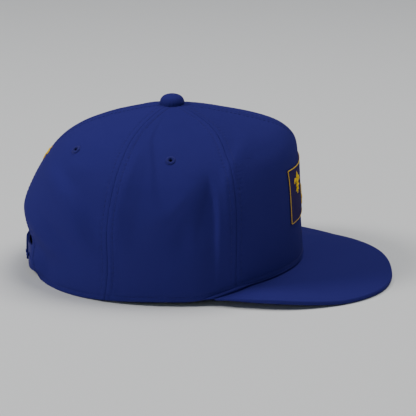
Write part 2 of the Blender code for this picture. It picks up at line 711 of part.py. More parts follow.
def make_fleur(name, x, bottom, height, raised, front, parts, materials):
    """A fleur-de-lis cut from flat stock: a 2D curve, made a mesh, welded and laid on the crown's face."""
    half = [(aside * height, up * height) for aside, up in FLEUR_ROWS]
    outline = half + [(0.0, 0.0)] + [(-aside, up) for aside, up in reversed(half[1:])]
    curve = bpy.data.curves.new(name, "CURVE")
    curve.dimensions = "2D"
    curve.fill_mode = "BOTH"
    curve.extrude = FLEUR_THICKNESS / 2
    spline = curve.splines.new("POLY")
    spline.points.add(len(outline) - 1)
    spline.points.foreach_set("co", [value for point in outline for value in (*point, 0.0, 1.0)])
    spline.use_cyclic_u = True
    flat = bpy.data.objects.new(name + "_curve", curve)
    parts.objects.link(flat)
    mesh = bpy.data.meshes.new_from_object(flat.evaluated_get(bpy.context.evaluated_depsgraph_get()))
    bpy.data.objects.remove(flat, do_unlink=True)
    body = bmesh.new()
    body.from_mesh(mesh)
    bmesh.ops.remove_doubles(body, verts=body.verts, dist=WELD)
    bmesh.ops.recalc_face_normals(body, faces=body.faces)
    body.to_mesh(mesh)
    body.free()
    mesh.name = name
    mesh.materials.clear()
    bend_to_face(mesh, x, bottom, raised + FLEUR_THICKNESS / 2, front)
    new_object(name, mesh, parts, materials["gold_thread"])


def main():
    clear_scene()
    parts = new_collection("snapback_cap")
    cutters = new_collection("cutters")
    materials = new_materials()
    panels = make_panels(parts, materials)
    cut_arch(panels, cutters)
    trim_rest(panels, cutters)
    make_eyelets(panels, parts, cutters, materials)
    make_button(parts, materials)
    make_visor(parts, materials)
    make_sweatband(parts, materials)
    make_closure(parts, cutters, materials)
    make_patch(parts, materials)
    make_fleur("back_fleur", 0.0, BACK_FLEUR_BOTTOM, BACK_FLEUR_HEIGHT, CLEARANCE, False, parts, materials)


main()
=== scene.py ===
# %% [markdown]
# A snapback cap has a high crown of five sewn panels, a flat brim, and two plastic straps that snap
# together under an arch at the back. The solid model gives every size, and this file puts the cloth,
# the sewing, the embroidery and the light around it.

# %% Load the solid model
import math

import bpy
import numpy as np
from mathutils import Matrix, Quaternion, Vector


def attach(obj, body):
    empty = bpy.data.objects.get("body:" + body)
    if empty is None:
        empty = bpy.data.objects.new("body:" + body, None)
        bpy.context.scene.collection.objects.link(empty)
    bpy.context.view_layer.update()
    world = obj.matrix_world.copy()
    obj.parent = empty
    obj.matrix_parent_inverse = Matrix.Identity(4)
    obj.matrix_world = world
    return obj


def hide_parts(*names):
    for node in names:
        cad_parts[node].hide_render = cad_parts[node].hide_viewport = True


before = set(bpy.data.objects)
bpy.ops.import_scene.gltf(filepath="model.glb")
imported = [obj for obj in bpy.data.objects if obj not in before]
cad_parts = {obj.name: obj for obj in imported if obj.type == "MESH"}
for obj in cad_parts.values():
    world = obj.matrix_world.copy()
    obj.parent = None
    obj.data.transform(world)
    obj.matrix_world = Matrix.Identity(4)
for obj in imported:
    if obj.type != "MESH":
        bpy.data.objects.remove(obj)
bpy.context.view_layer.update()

MM = 0.001
print("solids:", ", ".join(sorted(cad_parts)))

# %% [markdown]
# The camera comes first, so that every later look is judged from one place. It stands at the wearer's
# right, a little above the cap and almost level with the button. A long lens keeps the cap's lines
# nearly parallel, and a slight roll tips the horizon as it is in the picture.

# %% Camera
CAMERA_PLACE = Vector((-1.1351, -0.0262, 0.3949))
CAMERA_AIM = Vector((0.0, 0.0013, 0.0449))
CAMERA_ROLL = 0.0158
SENSOR_WIDTH, FOCAL_LENGTH = 36.0, 140.7

lens = bpy.data.cameras.new("camera")
lens.sensor_width = SENSOR_WIDTH
lens.lens = FOCAL_LENGTH
camera = bpy.data.objects.new("camera", lens)
bpy.context.scene.collection.objects.link(camera)
bpy.context.scene.camera = camera
camera.location = CAMERA_PLACE
camera.rotation_mode = "QUATERNION"
look = (CAMERA_AIM - CAMERA_PLACE).to_track_quat("-Z", "Y")
camera.rotation_quaternion = look @ Quaternion((0, 0, 1), CAMERA_ROLL)
print("camera", round((CAMERA_AIM - CAMERA_PLACE).length, 3), "m from the cap")

# %% [markdown]
# A studio for cloth wants large, soft sources, because small ones would make the twill sparkle. The key
# light hangs high behind the cap, so that the crown's top and back are light and the front panel falls
# into shade. A wide one above shapes the brim, and a weak one low at the wearer's right opens the shade.
# The floor is a plain pale sheet.

# %% Floor and light
# place, point that it faces, width in metres, watts and colour of each square light
LIGHTS = {
    "key": ((-0.53, 1.80, 1.75), (0.0, 0.03, 0.06), 0.6, 32.0, (1.0, 1.0, 1.0)),
    "top": ((0.3, -0.5, 2.0), (0.0, -0.04, 0.05), 1.2, 27.0, (1.0, 1.0, 1.0)),
    "side_fill": ((-1.75, 1.1, 0.4), (0.0, 0.0, 0.05), 1.2, 5.5, (0.85, 0.95, 1.0)),
}
SKY_COLOUR, SKY_STRENGTH = (0.62, 0.78, 1.0, 1.0), 0.14
FLOOR_COLOUR, FLOOR_ROUGHNESS = (0.80, 0.79, 0.77, 1.0), 0.9
FLOOR_SIZE, FLOOR_DROP = 14.0, 0.2 * MM


def set_inputs(node, values):
    for label, value in values.items():
        node.inputs[label].default_value = value


for name, (place, aim, width, watts, colour) in LIGHTS.items():
    light = bpy.data.lights.new(name, "AREA")
    light.size = width
    light.energy = watts
    light.color = colour
    lamp = bpy.data.objects.new(name, light)
    lamp.location = place
    lamp.rotation_euler = (Vector(aim) - Vector(place)).to_track_quat("-Z", "Y").to_euler()
    bpy.context.scene.collection.objects.link(lamp)

world = bpy.data.worlds.new("studio")
world.use_nodes = True
set_inputs(world.node_tree.nodes["Background"], {"Color": SKY_COLOUR, "Strength": SKY_STRENGTH})
bpy.context.scene.world = world

paint = bpy.data.materials.new("pale_floor")
paint.use_nodes = True
set_inputs(paint.node_tree.nodes["Principled BSDF"],
           {"Base Color": FLOOR_COLOUR, "Roughness": FLOOR_ROUGHNESS})
bpy.ops.mesh.primitive_plane_add(size=FLOOR_SIZE, location=(0.0, 0.0, -FLOOR_DROP))
floor = bpy.context.object
floor.name = "floor"
floor.data.materials.append(paint)
print("lights:", list(LIGHTS))

# %% [markdown]
# The crown's form is one smooth surface, the same that the solid model was cut from. A place on it is two
# numbers: degrees round from the front, negative on the wearer's right, and a share of the way up from the
# rim. A short table holds the form at every tenth of the way up. A cubic spline reads it, so that no row
# shows as a crease in the light.

# %% The crown's measures
VISOR_REACH = 162.8 * MM
CROWN_FRONT = 97.3 * MM
CROWN_BACK = 99.7 * MM
CROWN_SIDE = 87.0 * MM
CROWN_HEIGHT = 123.2 * MM
CROWN_WAY = 173.0 * MM
SIDE_LIFT, LIFT_TURN, LIFT_FADE = 3.1 * MM, 84.0, 48.0
FRONT_RISE = 11.0 * MM
CLOTH = 1.3 * MM
TOP_SHARE = 0.975
# how far the cloth beside the arch curls out, the height where it does so fully, the height where it starts
# to fade and the way over which it fades
CURL, CURL_FULL, CURL_TOP, CURL_FADE = 6.0 * MM, 10.0 * MM, 13.0 * MM, 16.0 * MM
CURL_TURN, CURL_TURN_FADE = 147.0, 10.5

# front reach and height, side reach and height, back reach and height, squareness
SECTIONS = np.array([
    (1.000, 0.000, 1.000, 0.000, 1.000, 0.000, 2.17),
    (0.978, 0.218, 1.012, 0.197, 0.998, 0.162, 2.20),
    (0.957, 0.430, 0.994, 0.395, 1.067, 0.339, 2.25),
    (0.942, 0.617, 0.931, 0.569, 1.033, 0.485, 2.30),
    (0.926, 0.744, 0.833, 0.702, 0.947, 0.622, 2.30),
    (0.890, 0.808, 0.713, 0.793, 0.836, 0.751, 2.25),
    (0.812, 0.863, 0.575, 0.863, 0.697, 0.842, 2.20),
    (0.668, 0.906, 0.425, 0.918, 0.517, 0.908, 2.15),
    (0.452, 0.947, 0.276, 0.959, 0.331, 0.953, 2.10),
    (0.216, 0.981, 0.138, 0.987, 0.160, 0.984, 2.05),
    (0.000, 1.000, 0.000, 1.000, 0.000, 1.000, 2.00),
])
RIM_RISE = np.array([[0.97], [1.00], [1.00], [0.89], [0.65], [0.11], [0.00]])
SEAM_TURNS = np.array([(61.3, 113.0), (61.8, 109.0), (64.9, 109.0), (63.5, 112.0), (60.0, 114.0)])
AXIS_Y = (VISOR_REACH - CROWN_BACK * SECTIONS[:, 4].max()) / 2
# the steps over which slopes on the face are taken, and the highest share at which they are
TURN_STEP, UP_STEP, UP_END = 0.5, 0.004, 0.992


def read_table(rows, place):
    """A natural cubic spline through evenly spaced rows, read at places from 0 to 1."""
    count = len(rows)
    pull = np.eye(count) * 4 + np.eye(count, k=1) + np.eye(count, k=-1)
    pull[0], pull[-1] = np.eye(count)[0], np.eye(count)[-1]
    bend = np.zeros(rows.shape)
    bend[1:-1] = rows[2:] - 2 * rows[1:-1] + rows[:-2]
    bend = np.linalg.solve(pull, bend)
    step = np.clip(np.asarray(place, dtype=float), 0.0, 1.0) * (count - 1)
    index = np.minimum(step.astype(int), count - 2)
    after = (step - index)[..., None]
    before = 1.0 - after
    return (before * rows[index] + after * rows[index + 1]
            + (before ** 3 - before) * bend[index] + (after ** 3 - after) * bend[index + 1])


def ease(value):
    """A smooth step from 0 to 1."""
    share = np.clip(value, 0.0, 1.0)
    return share * share * (3.0 - 2.0 * share)


def valley(distance, width):
    return np.exp(-(distance / width) ** 2)


def signed_power(value, power):
    return np.sign(value) * np.abs(value) ** power


def unit(vectors):
    return vectors / np.linalg.norm(vectors, axis=-1, keepdims=True)


def halve(holds, low, high):
    """Where a test that holds at low stops holding on the way to high, by halving."""
    for _ in range(30):
        middle = (low + high) / 2
        still = holds(middle)
        low, high = np.where(still, middle, low), np.where(still, high, middle)
    return low


def rim_height(turn):
    """The rim rises over the brim in front and a little at the sides."""
    away = np.abs(turn)
    side = SIDE_LIFT * (1.0 - ease((away - LIFT_TURN) / LIFT_FADE))
    return side + FRONT_RISE * read_table(RIM_RISE, away / 90.0)[..., 0]


def smooth_face(turn, up):
    """Points of the crown's outer face before any seam or fold."""
    turn, up = np.broadcast_arrays(np.asarray(turn, dtype=float), np.asarray(up, dtype=float))
    row = np.moveaxis(read_table(SECTIONS, up), -1, 0)
    front, front_high, side, side_high, back, back_high, square = row
    ahead, aside = np.cos(np.radians(turn)), np.sin(np.radians(turn))
    reach = np.where(ahead > 0, CROWN_FRONT * front, CROWN_BACK * back)
    end_high = np.where(ahead > 0, front_high, back_high)
    share = side_high + (end_high - side_high) * ahead ** 2
    rim = rim_height(turn)
    x = CROWN_SIDE * side * signed_power(aside, 2.0 / square)
    y = AXIS_Y - reach * signed_power(ahead, 2.0 / square)
    return np.stack([x, y, rim + share * (CROWN_HEIGHT - rim)], axis=-1)


def outward(turn, up):
    """Unit vectors that point out of the smooth face."""
    up = np.clip(np.asarray(up, dtype=float), UP_STEP, UP_END)
    across = smooth_face(turn + TURN_STEP, up) - smooth_face(turn - TURN_STEP, up)
    along = smooth_face(turn, up + UP_STEP) - smooth_face(turn, up - UP_STEP)
    return unit(np.cross(across, along))


def level_outward(turn, up):
    return unit(outward(turn, up) * (1.0, 1.0, 0.0))


def degree_width(turn, up):
    """Length on the face of one degree round."""
    return np.linalg.norm(smooth_face(turn + TURN_STEP, up) - smooth_face(turn - TURN_STEP, up), axis=-1)


def seam_turn(seam, up):
    """Where a seam runs. A seam is its column in SEAM_TURNS and its side, or the centre line behind."""
    if seam == "back":
        return np.full(np.shape(up), 180.0)
    if seam == "back_right":
        return np.full(np.shape(up), -180.0)
    column, side = seam
    return side * read_table(SEAM_TURNS, up)[..., column]


def curl(turn, z):
    """How far back the cloth beside the closure's arch curls out, at a height."""
    beside = ease((np.abs(turn) - CURL_TURN) / CURL_TURN_FADE)
    return CURL * beside * ease(z / CURL_FULL) * (1.0 - ease((z - CURL_TOP) / CURL_FADE))


def face_at(x, z, front=True):
    """The turn and the share of the way up where the face has this x and z."""
    x, z = np.broadcast_arrays(np.asarray(x, dtype=float), np.asarray(z, dtype=float))

    def turn_at(up):
        row = read_table(SECTIONS, up)
        aside = np.clip(np.abs(x) / (CROWN_SIDE * row[..., 2]), 0.0, 1.0)
        turn = np.degrees(np.arcsin(aside ** (row[..., 6] / 2)))
        return np.where(x < 0, -1.0, 1.0) * (turn if front else 180.0 - turn)

    def below(up):
        return smooth_face(turn_at(up), up)[..., 2] < z

    up = halve(below, np.zeros(x.shape), np.full(x.shape, 0.9))
    return turn_at(up), up


widest = 2 * CROWN_SIDE * SECTIONS[:, 2].max()
print("button axis at y =", round(AXIS_Y / MM, 2), "mm; widest", round(widest / MM, 1), "mm")

# %% [markdown]
# Cloth shows what presses on it. Every seam is drawn in, a puff stands between the seam and its two rows of
# stitches, and the stitches pucker it. An unlined crown also has soft dents, where it was packed and
# handled. Each is a valley or a ridge along a given line, and one function adds all depths up.

# %% Folds, seams and puckers
SEAM_ROW, HEM_ROW, ARCH_ROW = 4.0 * MM, 3.6 * MM, 4.5 * MM
STITCH_PITCH = 3.1 * MM
DART_BOTTOM = 0.49
STIFF_TURN, STIFF_FADE = 58.0, 10.0
DEGREE = CROWN_SIDE * math.pi / 180

# Each fold is a line of places (percent of the way up, turn, depth in mm), then its reach in mm on the side
# of the smaller turn and on the side of the larger one
SOFT_FOLDS = [
    # beside the front seam: a wide slope down to a sharp crest
    (((7, -70.4, 0), (11, -70.5, 0.4), (15, -70.8, 1.2), (23, -71.2, 2.5), (30, -72.3, 2.8),
      (36, -73.8, 1.7), (42, -75.2, 0)), 10.0, 1.3),
    (((12, -80.5, 0), (18, -80.5, -0.5), (26, -79.5, -0.7), (33, -77.6, -0.6), (39, -75.8, -0.3),
      (44, -75, 0)), 7.0, 2.6),
    (((20, -82.5, 0), (27, -82, -0.9), (33, -81.5, -1.7), (39, -80.5, -1.3), (46, -79, -0.4),
      (53, -78, 0)), 12.0, 7.0),
    (((0, -69.6, -0.2), (8, -69.4, -0.3), (16, -69.3, -0.5), (23, -69.6, -0.7), (30, -70.4, -0.7),
      (38, -71.8, 0)), 1.1, 2.2),
    (((0, -69.5, 1.2), (6, -69.7, 1.7), (12, -70.6, 1.5), (18, -72, 0.8), (24, -74, 0)), 9.0, 12.0),
    # the crease from under the button past the eyelet
    (((23, -88.6, 0), (28, -90.6, 0.6), (35, -92.2, 1), (43, -93, 1.3), (54, -95.3, 1.2),
      (64, -98.4, 0.6), (74, -98.5, 0.25), (82, -97, 0)), 1.7, 6.5),
    # the shallow bowl below it
    (((11, -83, 0), (15.5, -83, 1), (20, -82.5, 2.3), (24.5, -81.5, 2), (29, -80, 0.7), (34, -79, 0)),
      7.0, 12.0),
    (((21, -92.5, 0), (24.5, -90.3, -0.4), (28, -88, -0.5), (32, -84.5, -0.25), (36, -80.6, 0)),
      5.0, 1.8),
    # in front of the rear seam, a ridge and a hollow
    (((14, -106, 0), (20, -105.4, -0.4), (28, -104.8, -0.8), (40, -103, -1.1), (52, -102.5, -0.6),
      (60, -103.5, 0)), 5.0, 3.5),
    (((10, -100.5, 0), (17, -99.7, 0.4), (25, -98.6, 0.6), (33, -97.5, 0.5), (42, -96, 0.5),
      (50, -97, 0.4), (56, -98, 0)), 3.5, 6.5),
    # slanting down over the back panel: a crest and the valley in front of it, twice
    (((13, -119, 0), (18.2, -120.7, -1), (24, -124, -1.8), (30, -129, -2.2), (35.7, -137, -2.2),
      (41.4, -148, -1.2), (46, -160, 0)), 9.0, 5.5),
    (((13, -111.5, 0), (18.2, -112.9, 1), (24, -115.4, 1.7), (30, -119.2, 2.2), (35.7, -125.5, 2.2),
      (41.4, -134.5, 1.4), (46, -146, 0)), 5.5, 9.0),
    (((10, -118, 0), (14.4, -126.5, 1), (18.2, -133.8, 1.7), (21.2, -138, 1.6), (24.1, -142, 0.9),
      (28, -150, 0)), 5.0, 5.0),
    (((10, -132, 0), (13.8, -142.1, -1), (15.9, -145.1, -1.5), (18.5, -148.4, -1.8), (21.2, -152.4, -1.7),
      (25, -162, -0.8), (28, -170, 0)), 7.0, 5.5),
    # on the wearer's left
    (((0, 74, 0.3), (8, 76, 1.5), (18, 77, 2.3), (28, 76.5, 1.6), (38, 75, 0)), 3.0, 9.0),
    (((12, 95, 0), (20, 93.5, 1), (27, 92, 0.9), (34, 91, 0)), 4.0, 8.0),
    (((14, 113, 0), (20, 118, 1.2), (28, 127, 1.6), (36, 136, 0.8), (43, 143, 0)), 8.0, 5.0),
    (((10, 126, 0), (15, 134, 1), (20, 143, 1.2), (25, 152, 0.5), (28, 158, 0)), 7.0, 5.0),
    (((30, 88, 0), (42, 93, 0.6), (54, 98, 0.7), (66, 101, 0.3), (75, 101, 0)), 5.0, 2.2),
]
# the stiff front panel stands forward from a bend at each seam, and is flatter up to the patch
BENDS = [
    (((4, -66, 0), (12, -66.5, -0.8), (25, -66.5, -1.3), (35, -67, -1.3), (44, -63.5, -1.3),
      (52, -57.5, -1.1), (60, -51, -0.6), (68, -45, 0)), 5.0, 9.0),
    (((0, -48, 0.8), (12, -47, 1), (25, -45, 1.2), (35, -44, 1.2), (46, -43, 0.6), (55, -41, 0)),
      16.0, 17.0),
]
LEFT_BENDS = [([(up, -turn, deep) for up, turn, deep in places], high, low) for places, low, high in BENDS]
FOLDS = SOFT_FOLDS + BENDS + LEFT_BENDS
rng = np.random.default_rng(11)
WAVES = [(unit(rng.uniform(-1, 1, 3)), rng.uniform(0, 2 * math.pi)) for _ in range(14)]


def ripple(points, size):
    """A soft, even wave over space, from -1 to 1, whose humps are about one size across."""
    total = sum(np.sin(points @ direction * math.pi / size + phase) for direction, phase in WAVES)
    return total / math.sqrt(len(WAVES)) / 1.6


def follow(up, ups, values):
    """A line through values at some heights, with its corners rounded."""
    return sum(np.interp(up + shift, ups, values) for shift in (-0.03, -0.015, 0.0, 0.015, 0.03)) / 5


def fold_depth(turn, up):
    depth = np.zeros(np.broadcast(turn, up).shape)
    for places, low_reach, high_reach in FOLDS:
        percents, turns, deep = np.array(places).T
        ups = percents / 100
        slope = (follow(up + 0.01, ups, turns) - follow(up - 0.01, ups, turns)) / 0.02 * DEGREE / CROWN_WAY
        across = (turn - follow(up, ups, turns)) * DEGREE / np.sqrt(1.0 + slope ** 2)
        reach = np.where(across < 0, low_reach, high_reach) * MM
        depth = depth + follow(up, ups, deep) * MM * valley(across, reach)
    return depth


def seam_distances(turn, up):
    """Distance on the face to the nearest seam or to the front panel's dart."""
    width = degree_width(turn, up)
    away = np.abs(turn)
    seams = read_table(SEAM_TURNS, up)
    distance = np.minimum(np.abs(away - seams[..., 0]), np.abs(away - seams[..., 1]))
    distance = np.minimum(distance, np.abs(180.0 - away)) * width
    below_dart = np.clip(DART_BOTTOM - up, 0.0, 1.0) * CROWN_WAY
    return np.minimum(distance, np.hypot(away * width, below_dart))


def sewn_edge(distance, row, puff, groove, width):
    """A puff between an edge and its row of stitches, and the groove that the row draws in, all in mm."""
    swell = np.sin(np.clip(distance / row, 0.0, 1.0) * math.pi)
    return (groove * valley(distance - row, width * MM) - puff * swell) * MM


def sewn_depth(turn, up):
    """Puffs beside the seams, grooves under their stitches, puckers, and the stitched rim."""
    points = smooth_face(turn, up)
    distance = seam_distances(turn, up)
    ridge = -0.10 * MM * valley(distance - SEAM_ROW - 2.2 * MM, 1.2 * MM)
    uneven = 0.5 + 0.5 * ripple(points, 15 * MM)
    waves = np.sin(up * CROWN_WAY / (1.1 * STITCH_PITCH) * 2 * math.pi + 3.0 * ripple(points + 0.2, 12 * MM))
    pucker = 0.20 * MM * waves * uneven * valley(distance - SEAM_ROW, 2.8 * MM)
    hem = sewn_edge(points[..., 2] - rim_height(turn), HEM_ROW, 0.15, 0.20, 0.7)
    return sewn_edge(distance, SEAM_ROW, 0.22, 0.05, 0.6) + ridge + pucker + hem


def cloth_depth(turn, up):
    """How far in the outer face lies at a place, with everything added up."""
    points = smooth_face(turn, up)
    soft = ease((np.abs(turn) - STIFF_TURN) / STIFF_FADE) * ease((up - 0.01) / 0.08)
    slack = 0.30 * MM * ripple(points, 21 * MM) + 0.10 * MM * ripple(points + 0.3, 9 * MM)
    return fold_depth(turn, up) + sewn_depth(turn, up) + slack * (0.25 + 0.75 * soft)


def cloth_face(turn, up):
    """Points of the dressed outer face."""
    turn, up = np.broadcast_arrays(np.asarray(turn, dtype=float), np.asarray(up, dtype=float))
    points = smooth_face(turn, up)
    points[..., 1] += curl(turn, points[..., 2])
    return points - outward(turn, up) * cloth_depth(turn, up)[..., None]


deepest = cloth_depth(np.linspace(-179, 179, 359)[:, None], np.linspace(0, 0.9, 91)).max()
print("deepest dent", round(deepest / MM, 2), "mm")

# %% [markdown]
# Weave, lint and thread are effects that several materials share, so each is a node group with its own
# sockets. Twill is drawn as slanted ribs, and the threads that cross each rib notch it. The coordinates are
# millimetres on the cloth itself, from each piece's UV map, so that the weave keeps its size everywhere.

# %% Shader groups
def new_group(name, outputs, **inputs):
    """A shader group that takes a Vector and named values, and its input and output nodes."""
    group = bpy.data.node_groups.new(name, "ShaderNodeTree")
    group.interface.new_socket(name="Vector", in_out="INPUT", socket_type="NodeSocketVector")
    for label, value in inputs.items():
        socket = group.interface.new_socket(name=label, in_out="INPUT", socket_type="NodeSocketFloat")
        socket.default_value = value
    for label in outputs:
        group.interface.new_socket(name=label, in_out="OUTPUT", socket_type="NodeSocketFloat")
    return group, group.nodes.new("NodeGroupInput"), group.nodes.new("NodeGroupOutput")


def calculator(tree):
    """A function that adds a Math node to the tree. Its values are sockets or plain numbers."""
    def calc(operation, *values):
        node = tree.nodes.new("ShaderNodeMath")
        node.operation = operation
        for socket, value in zip(node.inputs, values):
            if isinstance(value, (int, float)):
                socket.default_value = value
            else:
                tree.links.new(value, socket)
        return node.outputs[0]
    return calc


def noise_node(tree, vector, scale, detail=2.0, roughness=0.5):
    node = tree.nodes.new("ShaderNodeTexNoise")
    set_inputs(node, {"Scale": scale, "Detail": detail, "Roughness": roughness})
    tree.links.new(vector, node.inputs["Vector"])
    return node.outputs["Fac"]


def split_node(tree, vector):
    node = tree.nodes.new("ShaderNodeSeparateXYZ")
    tree.links.new(vector, node.inputs[0])
    return node.outputs["X"], node.outputs["Y"]


def make_twill_group():
    """Slanted ribs of one pitch, notched by the threads that cross them. The Vector is in millimetres."""
    group, start, end = new_group("twill", ("Height", "Shade"), Pitch=0.7, Slant=0.9)
    calc = calculator(group)
    place, pitch = start.outputs["Vector"], start.outputs["Pitch"]
    x, y = split_node(group, place)
    uneven = calc("MULTIPLY", noise_node(group, place, 0.35, 3.0), 1.6)
    across = calc("ADD", calc("ADD", x, calc("MULTIPLY", y, start.outputs["Slant"])), uneven)
    turns = calc("DIVIDE", across, pitch)
    rib = calc("ABSOLUTE", calc("SINE", calc("MULTIPLY", turns, math.pi)))
    step = calc("MULTIPLY", calc("FLOOR", turns), 0.37)
    notch_at = calc("ADD", calc("DIVIDE", y, pitch), step)
    notch = calc("ABSOLUTE", calc("SINE", calc("MULTIPLY", notch_at, 1.4 * math.pi)))
    height = calc("MULTIPLY", rib, calc("MULTIPLY_ADD", notch, 0.35, 0.65))
    group.links.new(height, end.inputs["Height"])
    # Shade is painted shade, darker in the grooves between the ribs than on their tops, plus a random tone
    # for each thread
    thread = calc("SUBTRACT", noise_node(group, place, 1.3), 0.5)
    group.links.new(calc("MULTIPLY_ADD", thread, 0.6, height), end.inputs["Shade"])
    return group


def make_lint_group():
    """Wide fading of the dye and fine fuzz, as masks."""
    group, start, end = new_group("lint", ("Fade", "Fuzz"))
    group.links.new(noise_node(group, start.outputs["Vector"], 0.035, 3.0, 0.6), end.inputs["Fade"])
    group.links.new(noise_node(group, start.outputs["Vector"], 2.6, 4.0, 0.7), end.inputs["Fuzz"])
    return group


def make_thread_group():
    """Fine twist along thread, and each thread's own tone. Y counts threads, X runs along them in mm."""
    group, start, end = new_group("thread", ("Height", "Tone"))
    calc = calculator(group)
    x, y = split_node(group, start.outputs["Vector"])
    twist = calc("ADD", calc("MULTIPLY", x, 9.0), calc("MULTIPLY", y, 2.0 * math.pi))
    group.links.new(calc("SINE", twist), end.inputs["Height"])
    own = group.nodes.new("ShaderNodeTexWhiteNoise")
    own.noise_dimensions = "1D"
    group.links.new(calc("FLOOR", y), own.inputs["W"])
    group.links.new(own.outputs["Value"], end.inputs["Tone"])
    return group


TWILL, LINT, THREAD = make_twill_group(), make_lint_group(), make_thread_group()
print("groups:", [group.name for group in (TWILL, LINT, THREAD)])

# %% [markdown]
# Cap cloth is a matt twill. Its colour lives in the dye, with painted shade that makes the grooves between
# the ribs a little darker than each rib's top, and it fades softly over wide areas. One function makes every
# twill here from a colour, a rib's pitch and the depth of its relief.

# %% Cloth materials
CLOTH_GLOSS, PLASTIC_GLOSS = 0.06, 0.015
CLOTH_ROUGHNESS, PLASTIC_ROUGHNESS, SHEEN_ROUGHNESS = 0.95, 0.42, 0.45


def start_material(name, roughness, sheen=0.0, gloss=CLOTH_GLOSS):
    """A node material with its shader, and the UV map's coordinates in millimetres."""
    material = bpy.data.materials.new(name)
    material.use_nodes = True
    tree = material.node_tree
    shader = tree.nodes["Principled BSDF"]
    set_inputs(shader, {"Roughness": roughness, "Specular IOR Level": gloss,
                        "Sheen Weight": sheen, "Sheen Roughness": SHEEN_ROUGHNESS})
    place = tree.nodes.new("ShaderNodeUVMap")
    place.uv_map = "cloth"
    return material, tree, shader, place.outputs["UV"]


def use_group(tree, group, vector, **values):
    node = tree.nodes.new("ShaderNodeGroup")
    node.node_tree = group
    tree.links.new(vector, node.inputs["Vector"])
    set_inputs(node, values)
    return node


def tint(colour, factor, lift=0.0):
    return tuple(factor * value + lift for value in colour)


def mix_colours(tree, factor, first, second):
    """Two colours, or a socket and a colour, mixed by a mask."""
    node = tree.nodes.new("ShaderNodeMix")
    node.data_type = "RGBA"
    tree.links.new(factor, node.inputs["Factor"])
    for socket, value in ((node.inputs["A"], first), (node.inputs["B"], second)):
        if isinstance(value, tuple):
            socket.default_value = (*value, 1.0)
        else:
            tree.links.new(value, socket)
    return node.outputs["Result"]


def add_bump(tree, shader, height, distance, strength=1.0):
    bump = tree.nodes.new("ShaderNodeBump")
    set_inputs(bump, {"Distance": distance, "Strength": strength})
    tree.links.new(height, bump.inputs["Height"])
    tree.links.new(bump.outputs["Normal"], shader.inputs["Normal"])


def twill_material(name, colour, pitch=0.7, relief=0.07, slant=0.9):
    """Twill of one dye. Colour is linear, pitch and relief are in millimetres."""
    material, tree, shader, place = start_material(name, CLOTH_ROUGHNESS)
    calc = calculator(tree)
    weave = use_group(tree, TWILL, place, Pitch=pitch, Slant=slant)
    lint = use_group(tree, LINT, place)
    # painted shade: the colour is darker between the ribs and lighter on their tops, with a random tone for
    # each thread
    ribs = mix_colours(tree, weave.outputs["Shade"], tint(colour, 0.78), tint(colour, 1.16))
    worn = calc("MULTIPLY", lint.outputs["Fade"], 0.35)
    tree.links.new(mix_colours(tree, worn, ribs, tint(colour, 1.10, 0.004)), shader.inputs["Base Color"])
    height = calc("MULTIPLY_ADD", lint.outputs["Fuzz"], 0.5, weave.outputs["Height"])
    add_bump(tree, shader, height, relief * MM)
    return material


BLUE = (0.0240, 0.0207, 0.155)
CROWN_TWILL = twill_material("crown_twill", BLUE)
VISOR_TWILL = twill_material("visor_twill", BLUE, slant=-0.9)
BAND_TWILL = twill_material("band_twill", tint(BLUE, 0.8), pitch=0.5, relief=0.05)
PATCH_TWILL = twill_material("patch_twill", (0.0330, 0.0200, 0.094), pitch=0.45, relief=0.06)
print("cloths:", [material.name for material in (CROWN_TWILL, VISOR_TWILL, BAND_TWILL, PATCH_TWILL)])

# %% [markdown]
# Sewing thread and embroidery thread are both twisted yarn, so one function makes them. Embroidery is laid
# side by side in satin stitch, and each thread takes the dye a little differently. The straps are moulded
# plastic: smoother than the cloth, with the faint mottle that a textured mould leaves.

# %% Thread and plastic materials
def thread_material(name, colour, roughness, spread, sheen):
    material, tree, shader, place = start_material(name, roughness, sheen)
    thread = use_group(tree, THREAD, place)
    tone = mix_colours(tree, thread.outputs["Tone"], tint(colour, 1 - spread), colour)
    tree.links.new(tone, shader.inputs["Base Color"])
    add_bump(tree, shader, thread.outputs["Height"], 0.02 * MM, 0.6)
    return material


def plastic_material(name, colour):
    material, tree, shader, place = start_material(name, PLASTIC_ROUGHNESS, gloss=PLASTIC_GLOSS)
    grain = noise_node(tree, place, 3.0, 3.0, 0.6)
    mottle = mix_colours(tree, noise_node(tree, place, 0.12), tint(colour, 0.9), tint(colour, 1.1))
    tree.links.new(mottle, shader.inputs["Base Color"])
    tree.links.new(calculator(tree)("MULTIPLY_ADD", grain, 0.18, 0.36), shader.inputs["Roughness"])
    add_bump(tree, shader, grain, 0.02 * MM, 0.5)
    return material


BLUE_THREAD = thread_material("blue_thread", tint(BLUE, 1.15), roughness=0.6, spread=0.25, sheen=0.1)
GOLD_THREAD = thread_material("gold_thread", (0.98, 0.63, 0.010), roughness=0.5, spread=0.18, sheen=0.0)
SNAP_PLASTIC = plastic_material("snap_plastic", (0.026, 0.023, 0.160))
print("threads and plastic:", BLUE_THREAD.name, GOLD_THREAD.name, SNAP_PLASTIC.name)

# %% [markdown]
# A cloth piece has two faces and a rolled edge, so it is made from two grids of points, with a quad that
# closes every edge between them. Cells can be left out for a hole, and the same rule closes the hole's
# wall. What is round, such as a stitch or a peg, is a row of rings. A shape is its points, faces and map.

# %% Making pieces from grids
def add_piece(name, shape, material, replaces=()):
    """A mesh with a UV map in millimetres, that rides on the cap."""
    points, faces, uv = shape
    mesh = bpy.data.meshes.new(name)
    mesh.from_pydata(points.tolist(), [], [list(map(int, face)) for face in faces])
    layer = mesh.uv_layers.new(name="cloth")
    corner = np.zeros(len(mesh.loops), dtype=np.int32)
    mesh.loops.foreach_get("vertex_index", corner)
    layer.data.foreach_set("uv", uv.astype(np.float32)[corner].ravel())
    mesh.materials.append(material)
    mesh.shade_smooth()
    mesh.set_sharp_from_angle(angle=math.radians(50))
    piece = bpy.data.objects.new(name, mesh)
    bpy.context.scene.collection.objects.link(piece)
    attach(piece, "root")
    if replaces:
        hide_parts(*replaces)
    print(name, len(mesh.polygons), "faces")
    return piece


